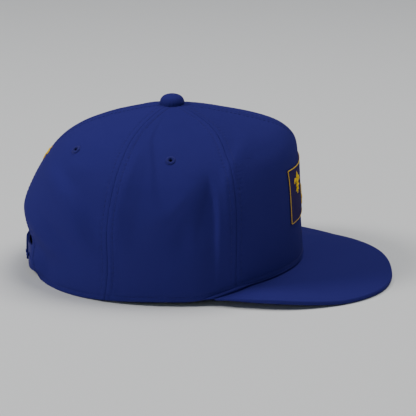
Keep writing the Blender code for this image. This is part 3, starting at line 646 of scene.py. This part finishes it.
def two_walls(outer, inner, uv, keep=None):
    """A closed sheet from its outer and inner grid, without the cells that keep leaves out."""
    rows, columns = outer.shape[:2]
    count = rows * columns
    index = np.arange(count).reshape(rows, columns)
    cells = np.stack([index[:-1, :-1], index[:-1, 1:], index[1:, 1:], index[1:, :-1]], axis=-1)
    keep = np.ones(cells.shape[:2], dtype=bool) if keep is None else keep
    padded = np.pad(keep, 1)
    beside = (padded[:-2, 1:-1], padded[1:-1, 2:], padded[2:, 1:-1], padded[1:-1, :-2])
    faces = [cells[keep], cells[keep][:, ::-1] + count]
    for side in range(4):
        bare = cells[keep & ~beside[side]]
        start, end = bare[:, side], bare[:, (side + 1) % 4]
        faces.append(np.stack([end, start, start + count, end + count], axis=-1))
    points = np.concatenate([outer.reshape(-1, 3), inner.reshape(-1, 3)])
    return points, np.concatenate(faces), np.tile(uv.reshape(-1, 2), (2, 1))


def rings(points, uv, inside_out=False, loop=False):
    """A skin over rings of points. Its ends are capped, unless the last ring joins the first."""
    rows, columns = points.shape[:2]
    index = np.arange(rows * columns).reshape(rows, columns)
    after = np.roll(index, -1, axis=0)
    quads = np.stack([index, np.roll(index, -1, axis=1), np.roll(after, -1, axis=1), after], axis=-1)
    caps = [index[0, ::-1], index[-1]]
    if inside_out:
        quads = quads[..., [0, 3, 2, 1]]
        caps = [index[0], index[-1, ::-1]]
    faces = (quads if loop else quads[:-1]).reshape(-1, 4).tolist()
    if not loop:
        faces += [cap.tolist() for cap in caps]
    return points.reshape(-1, 3), faces, uv.reshape(-1, 2)


def join(shapes):
    """Several shapes as one."""
    points, faces, uv, base = [], [], [], 0
    for some_points, some_faces, some_uv in shapes:
        points.append(some_points)
        uv.append(some_uv)
        faces.extend([base + value for value in face] for face in some_faces)
        base += len(some_points)
    return np.concatenate(points), faces, np.concatenate(uv)


def revolve(radius, height, sides):
    """Rings of points round the Z axis, from a column of radii and one of heights."""
    angle = np.linspace(0.0, 2 * math.pi, sides, endpoint=False)
    return coordinates(radius * np.cos(angle), radius * np.sin(angle), height)


def tube(centre, radius, aside, above, sides):
    """A ring of points round each place on a line."""
    angle = np.linspace(0.0, 2 * math.pi, sides, endpoint=False)[:, None]
    return centre[:, None] + radius[:, None, None] * (np.cos(angle) * aside[:, None] + np.sin(angle) * above)


def coordinates(*values):
    """Points from their coordinates, each of which is a grid, a row, a column or a number."""
    return np.stack(np.broadcast_arrays(*values), axis=-1)


def way_along(line):
    """Distance along a line of points, from its first one."""
    return np.concatenate([[0.0], np.cumsum(np.linalg.norm(np.diff(line, axis=0), axis=-1))])


def walk(at, along, line):
    """Places on a line, at distances along it."""
    return np.stack([np.interp(at, along, column) for column in line.T], axis=-1)


def cloth_map(turn, up, middle):
    """Millimetres on the crown: round from a panel's middle line, and up."""
    return coordinates((turn - middle) * degree_width(middle, up), up * CROWN_WAY) / MM


def crowd(spans, counts):
    """Places from one mark to the next, close together at every mark."""
    shares = []
    for start, end, count in zip(spans[:-1], spans[1:], counts):
        wave = (1.0 - np.cos(np.linspace(0.0, math.pi, count, endpoint=False))) / 2
        shares.append(start + (end - start) * wave)
    return np.concatenate(shares + [[spans[-1]]])


def rolled(distance, radius):
    """How far a face turns in at a distance from its edge, for an edge rolled to a radius."""
    short = np.clip(radius - distance, 0.0, radius)
    return radius - np.sqrt(radius ** 2 - short ** 2)


# %% [markdown]
# Each crown panel is such a sheet between two seams. Its side edges roll in, which makes the crease where
# two panels meet, and its lower edge rolls in as the hem of the rim. The back panels' columns start on the
# arch's line, and crowd together where it comes down to the rim, so the opening has a clean edge.

# %% The five crown panels
PANEL_ROWS = 230
ARCH_HALF_WIDTH = 36.0 * MM
ARCH_HEIGHT = 37.0 * MM
ARCH_SHARE = 0.54
TAPE, TAPE_HALF_WIDTH = 0.35 * MM, 6.0 * MM
REAR_ROLL, FRONT_ROLL = 0.24 * MM, 0.42 * MM
FRONT_SEAM_RIGHT, FRONT_SEAM_LEFT = (0, -1), (0, 1)
REAR_SEAM_RIGHT, REAR_SEAM_LEFT = (1, -1), (1, 1)
# turn and share of the way up
EYELETS = {"side_right": (-89.0, 0.494), "side_left": (89.0, 0.494),
           "back_right": (-142.0, 0.523), "back_left": (142.0, 0.523)}
EYELET_CUT = 2.0 * MM
# name, first and last seam, marks across the panel, and how many columns each stretch between marks has
PANELS = (
    ("front_panel", FRONT_SEAM_RIGHT, FRONT_SEAM_LEFT, (0.0, 0.5, 1.0), (62, 62)),
    ("side_panel_left", FRONT_SEAM_LEFT, REAR_SEAM_LEFT, (0.0, 1.0), (78,)),
    ("side_panel_right", REAR_SEAM_RIGHT, FRONT_SEAM_RIGHT, (0.0, 1.0), (78,)),
    ("back_panel_left", REAR_SEAM_LEFT, "back", (0.0, ARCH_SHARE, 1.0), (46, 56)),
    ("back_panel_right", "back_right", REAR_SEAM_RIGHT, (0.0, 1.0 - ARCH_SHARE, 1.0), (56, 46)),
)


def arch_distance(points):
    """Distance from the arch's edge in the plane across the cap, negative inside the opening."""
    x, z = points[..., 0] / ARCH_HALF_WIDTH, np.maximum(points[..., 2], 0.0) / ARCH_HEIGHT
    radius = np.hypot(x, z)
    slope = np.hypot(x / ARCH_HALF_WIDTH, z / ARCH_HEIGHT) / np.maximum(radius, 1e-6)
    return (radius - 1.0) / np.maximum(slope, 1e-6)


def panel_grid(first, last, share, arch):
    """Turn and share of the way up for each grid point of a panel."""
    def turn_at(up):
        return seam_turn(first, up) + (seam_turn(last, up) - seam_turn(first, up)) * share

    def in_arch(up):
        return arch_distance(smooth_face(turn_at(up), up)) < 0

    low = np.zeros(share.shape)
    if arch:
        low = np.where(in_arch(low), halve(in_arch, low, low + 0.5), low)
    up = low + (TOP_SHARE - low) * (np.linspace(0.0, 1.0, PANEL_ROWS) ** 1.2)[:, None]
    return turn_at(up), up


def make_panel(name, first, last, spans, counts):
    arch = name.startswith("back")
    turn, up = panel_grid(first, last, crowd(spans, counts)[None, :], arch)
    plain = smooth_face(turn, up)
    width = degree_width(turn, up)
    to_edge = np.minimum(np.abs(turn - seam_turn(first, up)), np.abs(seam_turn(last, up) - turn)) * width
    to_edge = np.minimum(to_edge, plain[..., 2] - rim_height(turn))
    extra = np.zeros(up.shape)
    if arch:
        to_arch = np.maximum(arch_distance(plain), 0.0)
        to_edge = np.minimum(to_edge, to_arch)
        extra = sewn_edge(to_arch, ARCH_ROW, 0.22, 0.20, 0.7)
    if name == "front_panel":
        to_dart = np.where(up > DART_BOTTOM, np.abs(turn) * width, 1.0)
        extra = 0.35 * MM * valley(to_dart, 0.45 * MM) * ease((up - DART_BOTTOM) / 0.04)
    roll = rolled(to_edge, np.where(np.abs(turn) < 90.0, FRONT_ROLL, REAR_ROLL))
    out = outward(turn, up)
    plain[..., 1] += curl(turn, plain[..., 2])
    outer = plain - out * (cloth_depth(turn, up) + roll + extra)[..., None]
    tape = TAPE * (1.0 - ease((seam_distances(turn, up) - TAPE_HALF_WIDTH) / (0.8 * MM)))
    inner = plain - out * (fold_depth(turn, up) + CLOTH + tape + 0.25 * MM - 0.6 * roll)[..., None]
    eyelet = EYELETS.get(name.replace("_panel", ""))
    keep = None
    if eyelet:
        middle = (plain[:-1, :-1] + plain[1:, 1:]) / 2
        keep = np.linalg.norm(middle - smooth_face(*eyelet), axis=-1) > EYELET_CUT
    uv = cloth_map(turn, up, (seam_turn(first, up) + seam_turn(last, up)) / 2)
    add_piece("cloth_" + name, two_walls(outer, inner, uv, keep), CROWN_TWILL, [name])


for panel in PANELS:
    make_panel(*panel)

# %% [markdown]
# Tone-on-tone sewing shows as small shadows more than as colour, so the stitches are real: each one is a
# short capsule of thread that dives into the cloth at both ends. A row is a line on the crown, cut into
# stitches of one length, and hundreds of them go into one mesh.

# %% Stitches
STITCH_LENGTH = 2.6 * MM
STITCH_RADIUS = 0.22 * MM
STITCH_SIDES = 6
STITCH_TOP = 0.945
RIM_ROW_END = 148.5
# share of a stitch's length, and of its radius there
STITCH_RINGS = np.array([(0.0, 0.15), (0.12, 0.75), (0.35, 1.0), (0.65, 1.0), (0.88, 0.75), (1.0, 0.15)])


def stitch_shape(rows):
    """Every stitch along rows of points and normals."""
    share, thick = STITCH_RINGS.T
    lift = (0.20 * MM * np.sin(share * math.pi) - 0.08 * MM)[:, None]
    stitches = []
    for line, normals in rows:
        along = way_along(line)
        for start in np.arange(0.4 * STITCH_PITCH, along[-1] - STITCH_LENGTH, STITCH_PITCH):
            at = start + share * STITCH_LENGTH
            centre, normal = walk(at, along, line), walk(at, along, normals)
            aside = np.cross(normal, unit(centre[-1] - centre[0]))
            skin = tube(centre + normal * lift, thick * STITCH_RADIUS, aside, normal[:, None], STITCH_SIDES)
            uv = coordinates((at / MM)[:, None], len(stitches) + np.full(STITCH_SIDES, 0.5))
            stitches.append(rings(skin, uv))
    return join(stitches)


def row_on_crown(turn, up):
    return cloth_face(turn, up), outward(turn, up)


def seam_rows():
    """Two rows beside every seam and beside the front panel's dart."""
    rows = []
    for seam, low in ((FRONT_SEAM_RIGHT, 0.03), (FRONT_SEAM_LEFT, 0.03), (REAR_SEAM_RIGHT, 0.03),
                      (REAR_SEAM_LEFT, 0.03), ("back", 0.245), ("back_right", 0.245)):
        up = np.linspace(low, STITCH_TOP, 160)
        middle = seam_turn(seam, up)
        offset = SEAM_ROW / degree_width(middle, up)
        for side in (-1, 1):
            turn = middle + side * offset
            if abs(middle[0]) < 180 or abs(turn[0]) < 180:
                rows.append(row_on_crown(turn, up))
    up = np.linspace(DART_BOTTOM, STITCH_TOP - 0.005, 90)
    return rows + [row_on_crown(side * SEAM_ROW / degree_width(0 * up, up), up) for side in (-1, 1)]


def rim_rows():
    """A row above the rim, from one end of the arch round the front to the other, and one round the arch."""
    turn = np.linspace(-RIM_ROW_END, RIM_ROW_END, 400)

    def below_row(up):
        return smooth_face(turn, up)[..., 2] - rim_height(turn) < HEM_ROW

    up = halve(below_row, 0 * turn, 0 * turn + 0.1)
    angle = np.radians(np.linspace(9, 171, 160))
    arch = face_at(-(ARCH_HALF_WIDTH + ARCH_ROW) * np.cos(angle), (ARCH_HEIGHT + ARCH_ROW) * np.sin(angle),
                   front=False)
    return [row_on_crown(turn, up), row_on_crown(*arch)]


add_piece("seam_stitches", stitch_shape(seam_rows()), BLUE_THREAD)
add_piece("rim_stitches", stitch_shape(rim_rows()), BLUE_THREAD)

# %% [markdown]
# The button is a metal disc covered with the crown's cloth. It is turned from a profile. The cloth is
# gathered under its edge, so small pleats fade in towards the rim.

# %% Top button
BUTTON_RADIUS = 8.7 * MM
BUTTON_HEIGHT = 6.4 * MM
BUTTON_FOOT = CROWN_HEIGHT + 0.3 * MM
BUTTON_SIDES = 120
BUTTON_PLEATS, PLEAT_DEPTH = 22, 0.012
# radius and height as shares, from the middle over the edge to the gathered underside
BUTTON_PROFILE = np.array([(0.0, 1.00), (0.22, 0.985), (0.45, 0.92), (0.65, 0.81), (0.82, 0.65),
                           (0.94, 0.42), (1.0, 0.14), (0.985, -0.10), (0.92, -0.20), (0.55, -0.10),
                           (0.20, -0.08)])


def make_button():
    profile = read_table(BUTTON_PROFILE, np.linspace(0.004, 1.0, 56))
    share, rise = np.split(profile, 2, axis=1)
    angle = np.linspace(0.0, 2 * math.pi, BUTTON_SIDES, endpoint=False)
    pleat = 1.0 + PLEAT_DEPTH * np.sin(angle * BUTTON_PLEATS) * ease((0.55 - rise) / 0.5)
    points = revolve(BUTTON_RADIUS * share * pleat, BUTTON_FOOT + BUTTON_HEIGHT * rise, BUTTON_SIDES)
    way = way_along(profile * (BUTTON_RADIUS, BUTTON_HEIGHT))[:, None] / MM
    uv = revolve(way, 0.0, BUTTON_SIDES)[..., :2]
    shape = rings(points + (0.0, AXIS_Y, 0.0), uv, inside_out=True)
    add_piece("button_cover", shape, CROWN_TWILL, ["top_button"])


make_button()

# %% [markdown]
# The brim is a stiff board with cloth on both faces. Its outline is a superellipse, and its upper face is
# straight from the outer edge to the crown's rim. Its edge is rolled, as that of covered board is.

# %% Brim
VISOR_HALF_WIDTH = 91.2 * MM
VISOR_WIDEST = 40.0 * MM
VISOR_SQUARE = 2.5
VISOR_THICKNESS = 3.0 * MM
VISOR_TURN = 71.5
VISOR_TAPER = 0.80
VISOR_END_LIFT = 8.0 * MM
VISOR_FLAT = 125.0 * MM
VISOR_OVERHANG = 1.2 * MM
VISOR_EDGE_ROW, VISOR_ROLL = 3.0 * MM, 1.4 * MM
GAP = 0.3 * MM


def visor_edge(across):
    angle = np.radians(90.0 * across)
    reach = VISOR_WIDEST + (VISOR_REACH - VISOR_WIDEST) * np.abs(np.cos(angle)) ** (2.0 / VISOR_SQUARE)
    x = VISOR_HALF_WIDTH * signed_power(np.sin(angle), 2.0 / VISOR_SQUARE)
    lift = VISOR_END_LIFT * np.clip((VISOR_FLAT - reach) / (VISOR_FLAT - VISOR_WIDEST), 0.0, 1.0)
    edge = coordinates(x, AXIS_Y - reach, lift + VISOR_THICKNESS)
    side = np.sign(across)
    end = smooth_face(VISOR_TURN * side, 0 * across) + coordinates(side, -1.0, 0.0) * VISOR_OVERHANG
    return edge + (end - edge) * ease((np.abs(across) - VISOR_TAPER) / (1.0 - VISOR_TAPER))[..., None]


def make_visor():
    way_in = (np.linspace(0.0, 1.0, 58) ** 1.6)[:, None]
    across = crowd((-1.0, 1.0), (200,)) + 0 * way_in
    turn = VISOR_TURN * across
    edge = visor_edge(across)
    rim = smooth_face(turn, 0 * turn) - outward(turn, 0 * turn) * (CLOTH, CLOTH, 0.0) - (0.0, 0.0, GAP)
    plain = edge + (rim - edge) * way_in[..., None]
    depth = np.linalg.norm(rim - edge, axis=-1) * way_in
    roll = rolled(depth, VISOR_ROLL)
    swell = 0.10 * MM * ripple(plain, 26 * MM) * ease(depth / (12 * MM)) * ease((1 - way_in) / 0.1)
    band = 0.12 * MM * valley(depth - VISOR_EDGE_ROW, 0.5 * MM)
    thick = VISOR_THICKNESS * (0.35 + 0.65 * ease((1.0 - np.abs(across)) / 0.16))
    upper = plain - coordinates(0.0, 0.0, roll + band - swell)
    lower = plain - coordinates(0.0, 0.0, thick - roll - 0.5 * band)
    shape = two_walls(upper, lower, plain[..., :2] / MM)
    add_piece("brim_cover", shape, VISOR_TWILL, ["visor"])


make_visor()

# %% [markdown]
# Where the brim meets the crown, a thin welt of the same cloth covers the joint. It is a cord along the rim,
# fine across the front and full beside the front seams, and it runs out thin into the side panels' hem.

# %% Welt between brim and crown
WELT_TURN = 76.0
WELT_RADIUS = 1.35 * MM
WELT_SIDES = 12
WELT_INSET, WELT_RISE = 0.10 * MM, 0.75 * MM


def make_welt():
    turn = WELT_TURN * np.linspace(-1.0, 1.0, 220)
    end = ease((WELT_TURN - np.abs(turn)) / 5.0)
    radius = WELT_RADIUS * (0.30 + 0.70 * end * ease((np.abs(turn) - 52.0) / 10.0))
    level = level_outward(turn, 0 * turn)
    centre = smooth_face(turn, 0 * turn) - level * WELT_INSET + (0.0, 0.0, WELT_RISE)
    way_round = np.linspace(0.0, 2 * math.pi * WELT_RADIUS, WELT_SIDES, endpoint=False)
    uv = coordinates(way_along(centre)[:, None], way_round) / MM
    skin = tube(centre, radius, level, np.array((0.0, 0.0, 1.0)), WELT_SIDES)
    add_piece("brim_welt", rings(skin, uv), VISOR_TWILL)


make_welt()

# %% [markdown]
# Satin stitch is thread laid side by side across a line. The patch's border and each petal of a
# fleur-de-lis is a low domed bar of it, with a ridge for every thread, and a function given with each bar
# lays it on the cap.

# %% Satin stitch
THREAD_PITCH = 0.42 * MM
THREAD_RIDGE = 0.09 * MM
THREAD_FOOT = -0.15 * MM
ACROSS = np.linspace(-1.0, 1.0, 9)


def satin(bar, puff, lay, closed=False, first_thread=0):
    """A satin bar along a smooth line through rows of x, y and half width."""
    fine = np.linspace(0.0, 1.0, 400)
    if closed:
        bar = walk(fine, np.linspace(0.0, 1.0, len(bar) + 1), np.concatenate([bar, bar[:1]]))
    else:
        bar = read_table(bar, fine)
    along = way_along(bar[:, :2])
    count = 3 * max(3, round(along[-1] / THREAD_PITCH)) + (0 if closed else 1)
    at = np.linspace(0.0, along[-1], count, endpoint=not closed)
    centre, width = np.split(walk(at, along, bar), [2], axis=1)
    ahead = np.gradient(centre, axis=0)
    if closed:
        ahead = np.roll(centre, -1, axis=0) - np.roll(centre, 1, axis=0)
    aside = unit(ahead)[:, ::-1] * (-1, 1)
    ridge = np.where(np.arange(count) % 3 == 0, 0.0, 0.8)[:, None]
    dome = np.sqrt(1.0 - (0.97 * ACROSS) ** 2)
    full = np.minimum(1.0, width / width.max() * 1.6)
    height = puff * dome * full + THREAD_RIDGE * ridge * dome - 0.05 * MM
    flat = centre[:, None] + aside[:, None] * (ACROSS * (width + THREAD_RIDGE / 3 * ridge))[..., None]
    top = lay(flat[..., 0], flat[..., 1], height)
    foot = lay(flat[:, ::-8, 0], flat[:, ::-8, 1], np.full((count, 2), THREAD_FOOT))
    thread = first_thread + at / THREAD_PITCH
    uv = coordinates(np.append(ACROSS, (1.0, -1.0)) * width / MM, thread[:, None])
    return rings(np.concatenate([top, foot], axis=1), uv, inside_out=True, loop=closed)


print("one satin thread is", THREAD_PITCH / MM, "mm wide")

# %% [markdown]
# The eyelets are air holes sewn round with thread. The section of each ring goes from its outer edge over a
# dome, down through the cloth and out to a smaller lip inside, and hides the cloth's cut edge.

# %% Eyelets
EYELET_THREADS = 40
EYELET_RIDGE = 0.08 * MM
# radius and height in millimetres, from the outer edge over the ring and through the cloth
EYELET_PROFILE = np.array([(3.45, -0.30), (3.40, 0.15), (3.10, 0.55), (2.60, 0.85), (2.05, 0.88),
                           (1.55, 0.66), (1.22, 0.20), (1.12, -0.50), (1.15, -1.30), (1.50, -1.95),
                           (2.20, -2.10), (2.80, -1.80), (2.90, -1.20)])


def make_eyelet(name, turn, up):
    out = outward(turn, up)
    aside = unit(np.cross((0.0, 0.0, 1.0), out))
    profile = read_table(EYELET_PROFILE, np.linspace(0.0, 1.0, 34)) * MM
    radius, height = np.split(profile, 2, axis=1)
    count = np.arange(EYELET_THREADS * 3)
    ridge = np.where(count % 3 == 0, 0.0, EYELET_RIDGE) * (height > -1.0 * MM)
    ring = revolve(radius, height + ridge, len(count))
    points = cloth_face(turn, up) + ring @ np.stack([aside, np.cross(out, aside), out])
    uv = coordinates(way_along(profile)[:, None] / MM, count / 3)
    add_piece("ring_" + name, rings(points, uv, loop=True), BLUE_THREAD, ["eyelet_" + name])


for name, (turn, up) in EYELETS.items():
    make_eyelet(name, turn, up)

# %% [markdown]
# The patch is a thin dark rectangle with a gold border. Three gold fleurs-de-lis lie on it, two above and
# one below, and a small one sits above the arch behind. Each is sewn as an embroiderer would divide it: a
# middle petal, two curled ones, a tie, and a foot in three parts.

# %% Patch and fleurs-de-lis
PATCH_HALF_WIDTH = 40.0 * MM
PATCH_BOTTOM = 46.2 * MM
PATCH_HEIGHT = 39.3 * MM
PATCH_FACE = 1.0 * MM
BORDER_INSET, BORDER_HALF_WIDTH, BORDER_CORNER = 0.40 * MM, 0.26 * MM, 0.6 * MM
FLEUR_HEIGHT, BACK_FLEUR_HEIGHT = 16.5 * MM, 11.0 * MM
BACK_FLEUR_BOTTOM = 78.5 * MM
# x of the middle and height of the foot of the three on the patch
FLEURS = {"fleur_right": (-25.3 * MM, 65.3 * MM), "fleur_left": (25.3 * MM, 65.3 * MM),
          "fleur_low": (0.0, 49.4 * MM)}
# x, y and half width along each part, in shares of the flower's height
MIDDLE_PETAL = np.array([(0, 1.0, 0.008), (0, 0.87, 0.075), (0, 0.74, 0.118), (0, 0.61, 0.100),
                         (0, 0.50, 0.060), (0, 0.42, 0.050)])
SIDE_PETAL = np.array([(0.070, 0.42, 0.040), (0.105, 0.54, 0.045), (0.17, 0.640, 0.058),
                       (0.265, 0.685, 0.070), (0.340, 0.640, 0.062), (0.365, 0.56, 0.045),
                       (0.325, 0.50, 0.015)])
MIDDLE_FOOT = np.array([(0, 0.34, 0.048), (0, 0.22, 0.060), (0, 0.10, 0.045), (0, 0.0, 0.008)])
SIDE_FOOT = np.array([(0.07, 0.34, 0.036), (0.10, 0.25, 0.040), (0.15, 0.185, 0.042), (0.21, 0.145, 0.012)])
TIE = np.array([(-0.20, 0.38, 0.040), (-0.07, 0.385, 0.044), (0.07, 0.385, 0.044), (0.20, 0.38, 0.040)])
FLIP = (-1, 1, 1)
FLEUR_PARTS = (MIDDLE_PETAL, SIDE_PETAL, SIDE_PETAL * FLIP, MIDDLE_FOOT, SIDE_FOOT, SIDE_FOOT * FLIP, TIE)


def fleur_shape(lay, size, puff):
    """One fleur-de-lis, laid by a function of x, y and height. Its tie lies over the other parts."""
    bars = []
    for number, part in enumerate(FLEUR_PARTS):
        lift = 0.25 * MM if part is TIE else 0.0
        bars.append(satin(part * size, puff, lambda x, y, above, lift=lift: lay(x, y, above + lift),
                          first_thread=100 * number))
    return join(bars)


def lay_in_front(x_middle, z_low, height):
    def lay(x, y, above):
        turn, up = face_at(x_middle + x, z_low + y)
        return smooth_face(turn, up) + outward(turn, up) * (height + above)[..., None]
    return lay


def lay_behind(z_low, height):
    def lay(x, y, above):
        turn, up = face_at(-x, z_low + y, front=False)
        return cloth_face(turn, up) + outward(turn, up) * (height + above)[..., None]
    return lay


def make_patch():
    x = PATCH_HALF_WIDTH * crowd((-1.0, 1.0), (90,))[None, :]
    rise = PATCH_HEIGHT * crowd((0.0, 1.0), (56,))[:, None]
    turn, up = face_at(x, PATCH_BOTTOM + rise)
    out = outward(turn, up)
    plain = smooth_face(turn, up)
    edge = np.minimum(PATCH_HALF_WIDTH - np.abs(x), np.minimum(rise, PATCH_HEIGHT - rise))
    wave = 0.05 * MM * ripple(plain, 13 * MM)
    outer = plain + out * (PATCH_FACE - rolled(edge, 0.5 * MM) + wave)[..., None]
    shape = two_walls(outer, plain - out * 0.1 * MM, coordinates(x, PATCH_BOTTOM + rise) / MM)
    add_piece("patch_cover", shape, PATCH_TWILL, ["patch"])


def make_border():
    """One closed satin line along the patch's edge, with small round corners."""
    half = np.array([PATCH_HALF_WIDTH, PATCH_HEIGHT / 2]) - BORDER_INSET - BORDER_CORNER
    line = []
    for quarter, signs in enumerate(((1, 1), (-1, 1), (-1, -1), (1, -1))):
        angle = np.radians(90 * quarter + np.linspace(0, 90, 5))
        line.extend(half * signs + BORDER_CORNER * coordinates(np.cos(angle), np.sin(angle)))
    bar = []
    for start, end in zip(line, line[1:] + line[:1]):
        steps = max(1, round(np.linalg.norm(end - start) / MM))
        bar.extend([*(start + (end - start) * step / steps), BORDER_HALF_WIDTH] for step in range(steps))
    lay = lay_in_front(0.0, PATCH_BOTTOM + PATCH_HEIGHT / 2, PATCH_FACE - 0.10 * MM)
    shape = satin(np.array(bar), 0.20 * MM, lay, closed=True)
    add_piece("border_thread", shape, GOLD_THREAD, ["patch_border"])


make_patch()
make_border()
for name, (x, z) in FLEURS.items():
    shape = fleur_shape(lay_in_front(x, z, PATCH_FACE), FLEUR_HEIGHT, 0.55 * MM)
    add_piece("thread_" + name, shape, GOLD_THREAD, [name])
shape = fleur_shape(lay_behind(BACK_FLEUR_BOTTOM, 0.1 * MM), BACK_FLEUR_HEIGHT, 0.6 * MM)
add_piece("thread_back_fleur", shape, GOLD_THREAD, ["back_fleur"])

# %% [markdown]
# Inside the rim runs the sweatband, a folded strip of softer cloth. It starts and ends at the arch and
# stands a little off the crown. Its upper edge is free, so it waves slightly.

# %% Sweatband
BAND_TURN = 155.0
BAND_TOP = 0.127
BAND_THICKNESS = 0.9 * MM
BAND_WAY = 1.9 * CROWN_HEIGHT


def make_band():
    turn, up = np.broadcast_arrays(BAND_TURN * crowd((-1.0, 0.0, 1.0), (130, 130))[None, :],
                                   BAND_TOP * np.linspace(0.0, 1.0, 26)[:, None])
    behind = ease((np.abs(turn) - 115.0) / 15.0)
    wave = 0.25 * MM * ease(up / BAND_TOP) * (1.0 + ripple(smooth_face(turn, up), 17 * MM))
    off = CLOTH + 1.3 * MM + 1.5 * MM * behind + fold_depth(turn, up) + wave
    to_top = (BAND_TOP - up) * BAND_WAY
    seam = 0.15 * MM * valley(to_top - 3.0 * MM, 0.6 * MM)
    to_end = (BAND_TURN - np.abs(turn)) * 1.5 * MM
    edge = rolled(np.minimum(np.minimum(up * BAND_WAY, to_top), to_end), 0.4 * MM)
    out = outward(turn, up)
    plain = smooth_face(turn, up) + (0.0, 0.0, 0.6 * MM)
    outer = plain - out * (off + edge)[..., None]
    inner = plain - out * (off + BAND_THICKNESS - edge - seam)[..., None]
    shape = two_walls(outer, inner, cloth_map(turn, up, 0 * turn))
    add_piece("band_cover", shape, BAND_TWILL, ["sweatband"])


make_band()

# %% [markdown]
# The closure is two moulded straps that bow out across the arch. The outer one has holes, and the inner one
# has pegs that snap into them. Each strap is a bent grid made thick, its holes are cut with cylinders, and
# a small bevel takes the edge off, as a mould would.

# %% Snap closure
STRAP_BOTTOM = 3.0 * MM
STRAP_HEIGHT = 19.0 * MM
STRAP_THICKNESS = 1.2 * MM
STRAP_TUCK = 11.0 * MM
STRAP_BULGE = 8.2 * MM
STRAP_INSET = 1.4 * MM
STRAP_CORNER = 5.0 * MM
STRAP_END = 6.0 * MM
STRAP_LAYER = STRAP_THICKNESS + GAP
STRAP_BEVEL = 0.22 * MM
PEG_PITCH = 8.0 * MM
PEG_SIDES = 28
PEG_COUNT, HOLE_COUNT, SNAPPED = 7, 5, 4
HOLE_RADIUS, HOLE_MARGIN = 2.1 * MM, 1.0 * MM
TUCKED = ARCH_HALF_WIDTH + STRAP_TUCK
PEG_END = SNAPPED * PEG_PITCH - STRAP_END
FIRST_PEG = PEG_END - PEG_PITCH / 2
# radius and height of a snap peg in millimetres, from its domed top to its foot in the strap
PEG_PROFILE = np.array([(0.02, 1.95), (0.9, 1.85), (1.45, 1.55), (1.62, 1.15), (1.50, 0.80), (1.30, 0.45),
                        (1.35, -0.3)])


def strap_point(x, z, deeper):
    away = np.abs(x)
    inside = ease((away - 0.75 * ARCH_HALF_WIDTH) / (0.25 * ARCH_HALF_WIDTH))
    turn, up = face_at(x, z * inside, front=False)
    bulge = STRAP_BULGE * np.clip(1.0 - (away / (0.92 * ARCH_HALF_WIDTH)) ** 2.8, 0.0, 1.0) ** 0.9
    points = smooth_face(turn, up) - outward(turn, up) * fold_depth(turn, up)[..., None]
    points = points + level_outward(turn, up) * (bulge - STRAP_INSET - GAP - deeper)[..., None]
    points[..., 2] = z
    return points


def on_top(x):
    """The strap with holes lies on top all the way."""
    return 0.0 * x


def under(x):
    """How much deeper the strap with pegs lies, where it runs behind the other."""
    return STRAP_LAYER * ease((x + STRAP_END + 22 * MM) / (18 * MM))


def strap_frame(x, deeper):
    """A frame on a strap's outer face at mid height, whose Z axis points out of it."""
    start, end = strap_point(x + np.array((-MM, MM)), STRAP_BOTTOM + STRAP_HEIGHT / 2 + np.zeros(2), deeper)
    out = Vector((0, 0, 1)).cross(Vector(end - start).normalized())
    return Matrix.Translation((start + end) / 2) @ out.to_track_quat("Z", "Y").to_matrix().to_4x4()


def make_strap(name, tucked, free, deeper, node):
    x = tucked + (free - tucked) * crowd((0.0, 0.6, 1.0), (44, 40))[None, :]
    corner = rolled(np.abs(free - x), STRAP_CORNER)
    z = STRAP_BOTTOM + corner + (STRAP_HEIGHT - 2 * corner) * crowd((0.0, 1.0), (14,))[:, None]
    x, z = np.broadcast_arrays(x, z)
    if tucked < free:
        x, z = x[:, ::-1], z[:, ::-1]
    outer, inner = (strap_point(x, z, deeper(x) + layer) for layer in (0.0, STRAP_THICKNESS))
    shape = two_walls(outer, inner, coordinates(x, z) / MM)
    return add_piece(name, shape, SNAP_PLASTIC, [node])


def cut_holes(strap, frames):
    """Cut a round hole at each frame, then throw the cutters away."""
    depth = STRAP_LAYER + 2 * HOLE_MARGIN
    for place in frames:
        bpy.ops.mesh.primitive_cylinder_add(vertices=40, radius=HOLE_RADIUS, depth=depth,
                                            location=(0, 0, STRAP_LAYER / 2))
        cutter = bpy.context.object
        cutter.data.transform(place @ cutter.matrix_world)
        cutter.matrix_world = Matrix.Identity(4)
        cut = strap.modifiers.new("hole", "BOOLEAN")
        cut.operation = "DIFFERENCE"
        cut.object = cutter
        with bpy.context.temp_override(object=strap, active_object=strap):
            bpy.ops.object.modifier_apply(modifier=cut.name)
        bpy.data.objects.remove(cutter)


def round_off(piece):
    bevel = piece.modifiers.new("soft_edge", "BEVEL")
    bevel.width = STRAP_BEVEL
    bevel.segments = 2
    bevel.limit_method = "ANGLE"
    bevel.angle_limit = math.radians(50)


def peg_shape(place):
    profile = read_table(PEG_PROFILE, np.linspace(0.0, 1.0, 16)) * MM
    points = revolve(profile[:, :1], profile[:, 1:], PEG_SIDES)
    place = np.array(place)
    return rings(points @ place[:3, :3].T + place[:3, 3], points[..., :2] / MM, inside_out=True)


outer_strap = make_strap("strap_with_holes", TUCKED, -STRAP_END, on_top, "strap_holes")
holes = FIRST_PEG - PEG_PITCH * (SNAPPED - 1 - np.arange(HOLE_COUNT))
cut_holes(outer_strap, [strap_frame(x, STRAP_LAYER) for x in holes])
round_off(outer_strap)
inner_strap = make_strap("strap_with_pegs", -TUCKED, PEG_END, under, "strap_pegs")
round_off(inner_strap)
pegs = FIRST_PEG - PEG_PITCH * np.arange(PEG_COUNT)
shape = join([peg_shape(strap_frame(x, under(x))) for x in pegs])
add_piece("snap_pegs", shape, SNAP_PLASTIC)
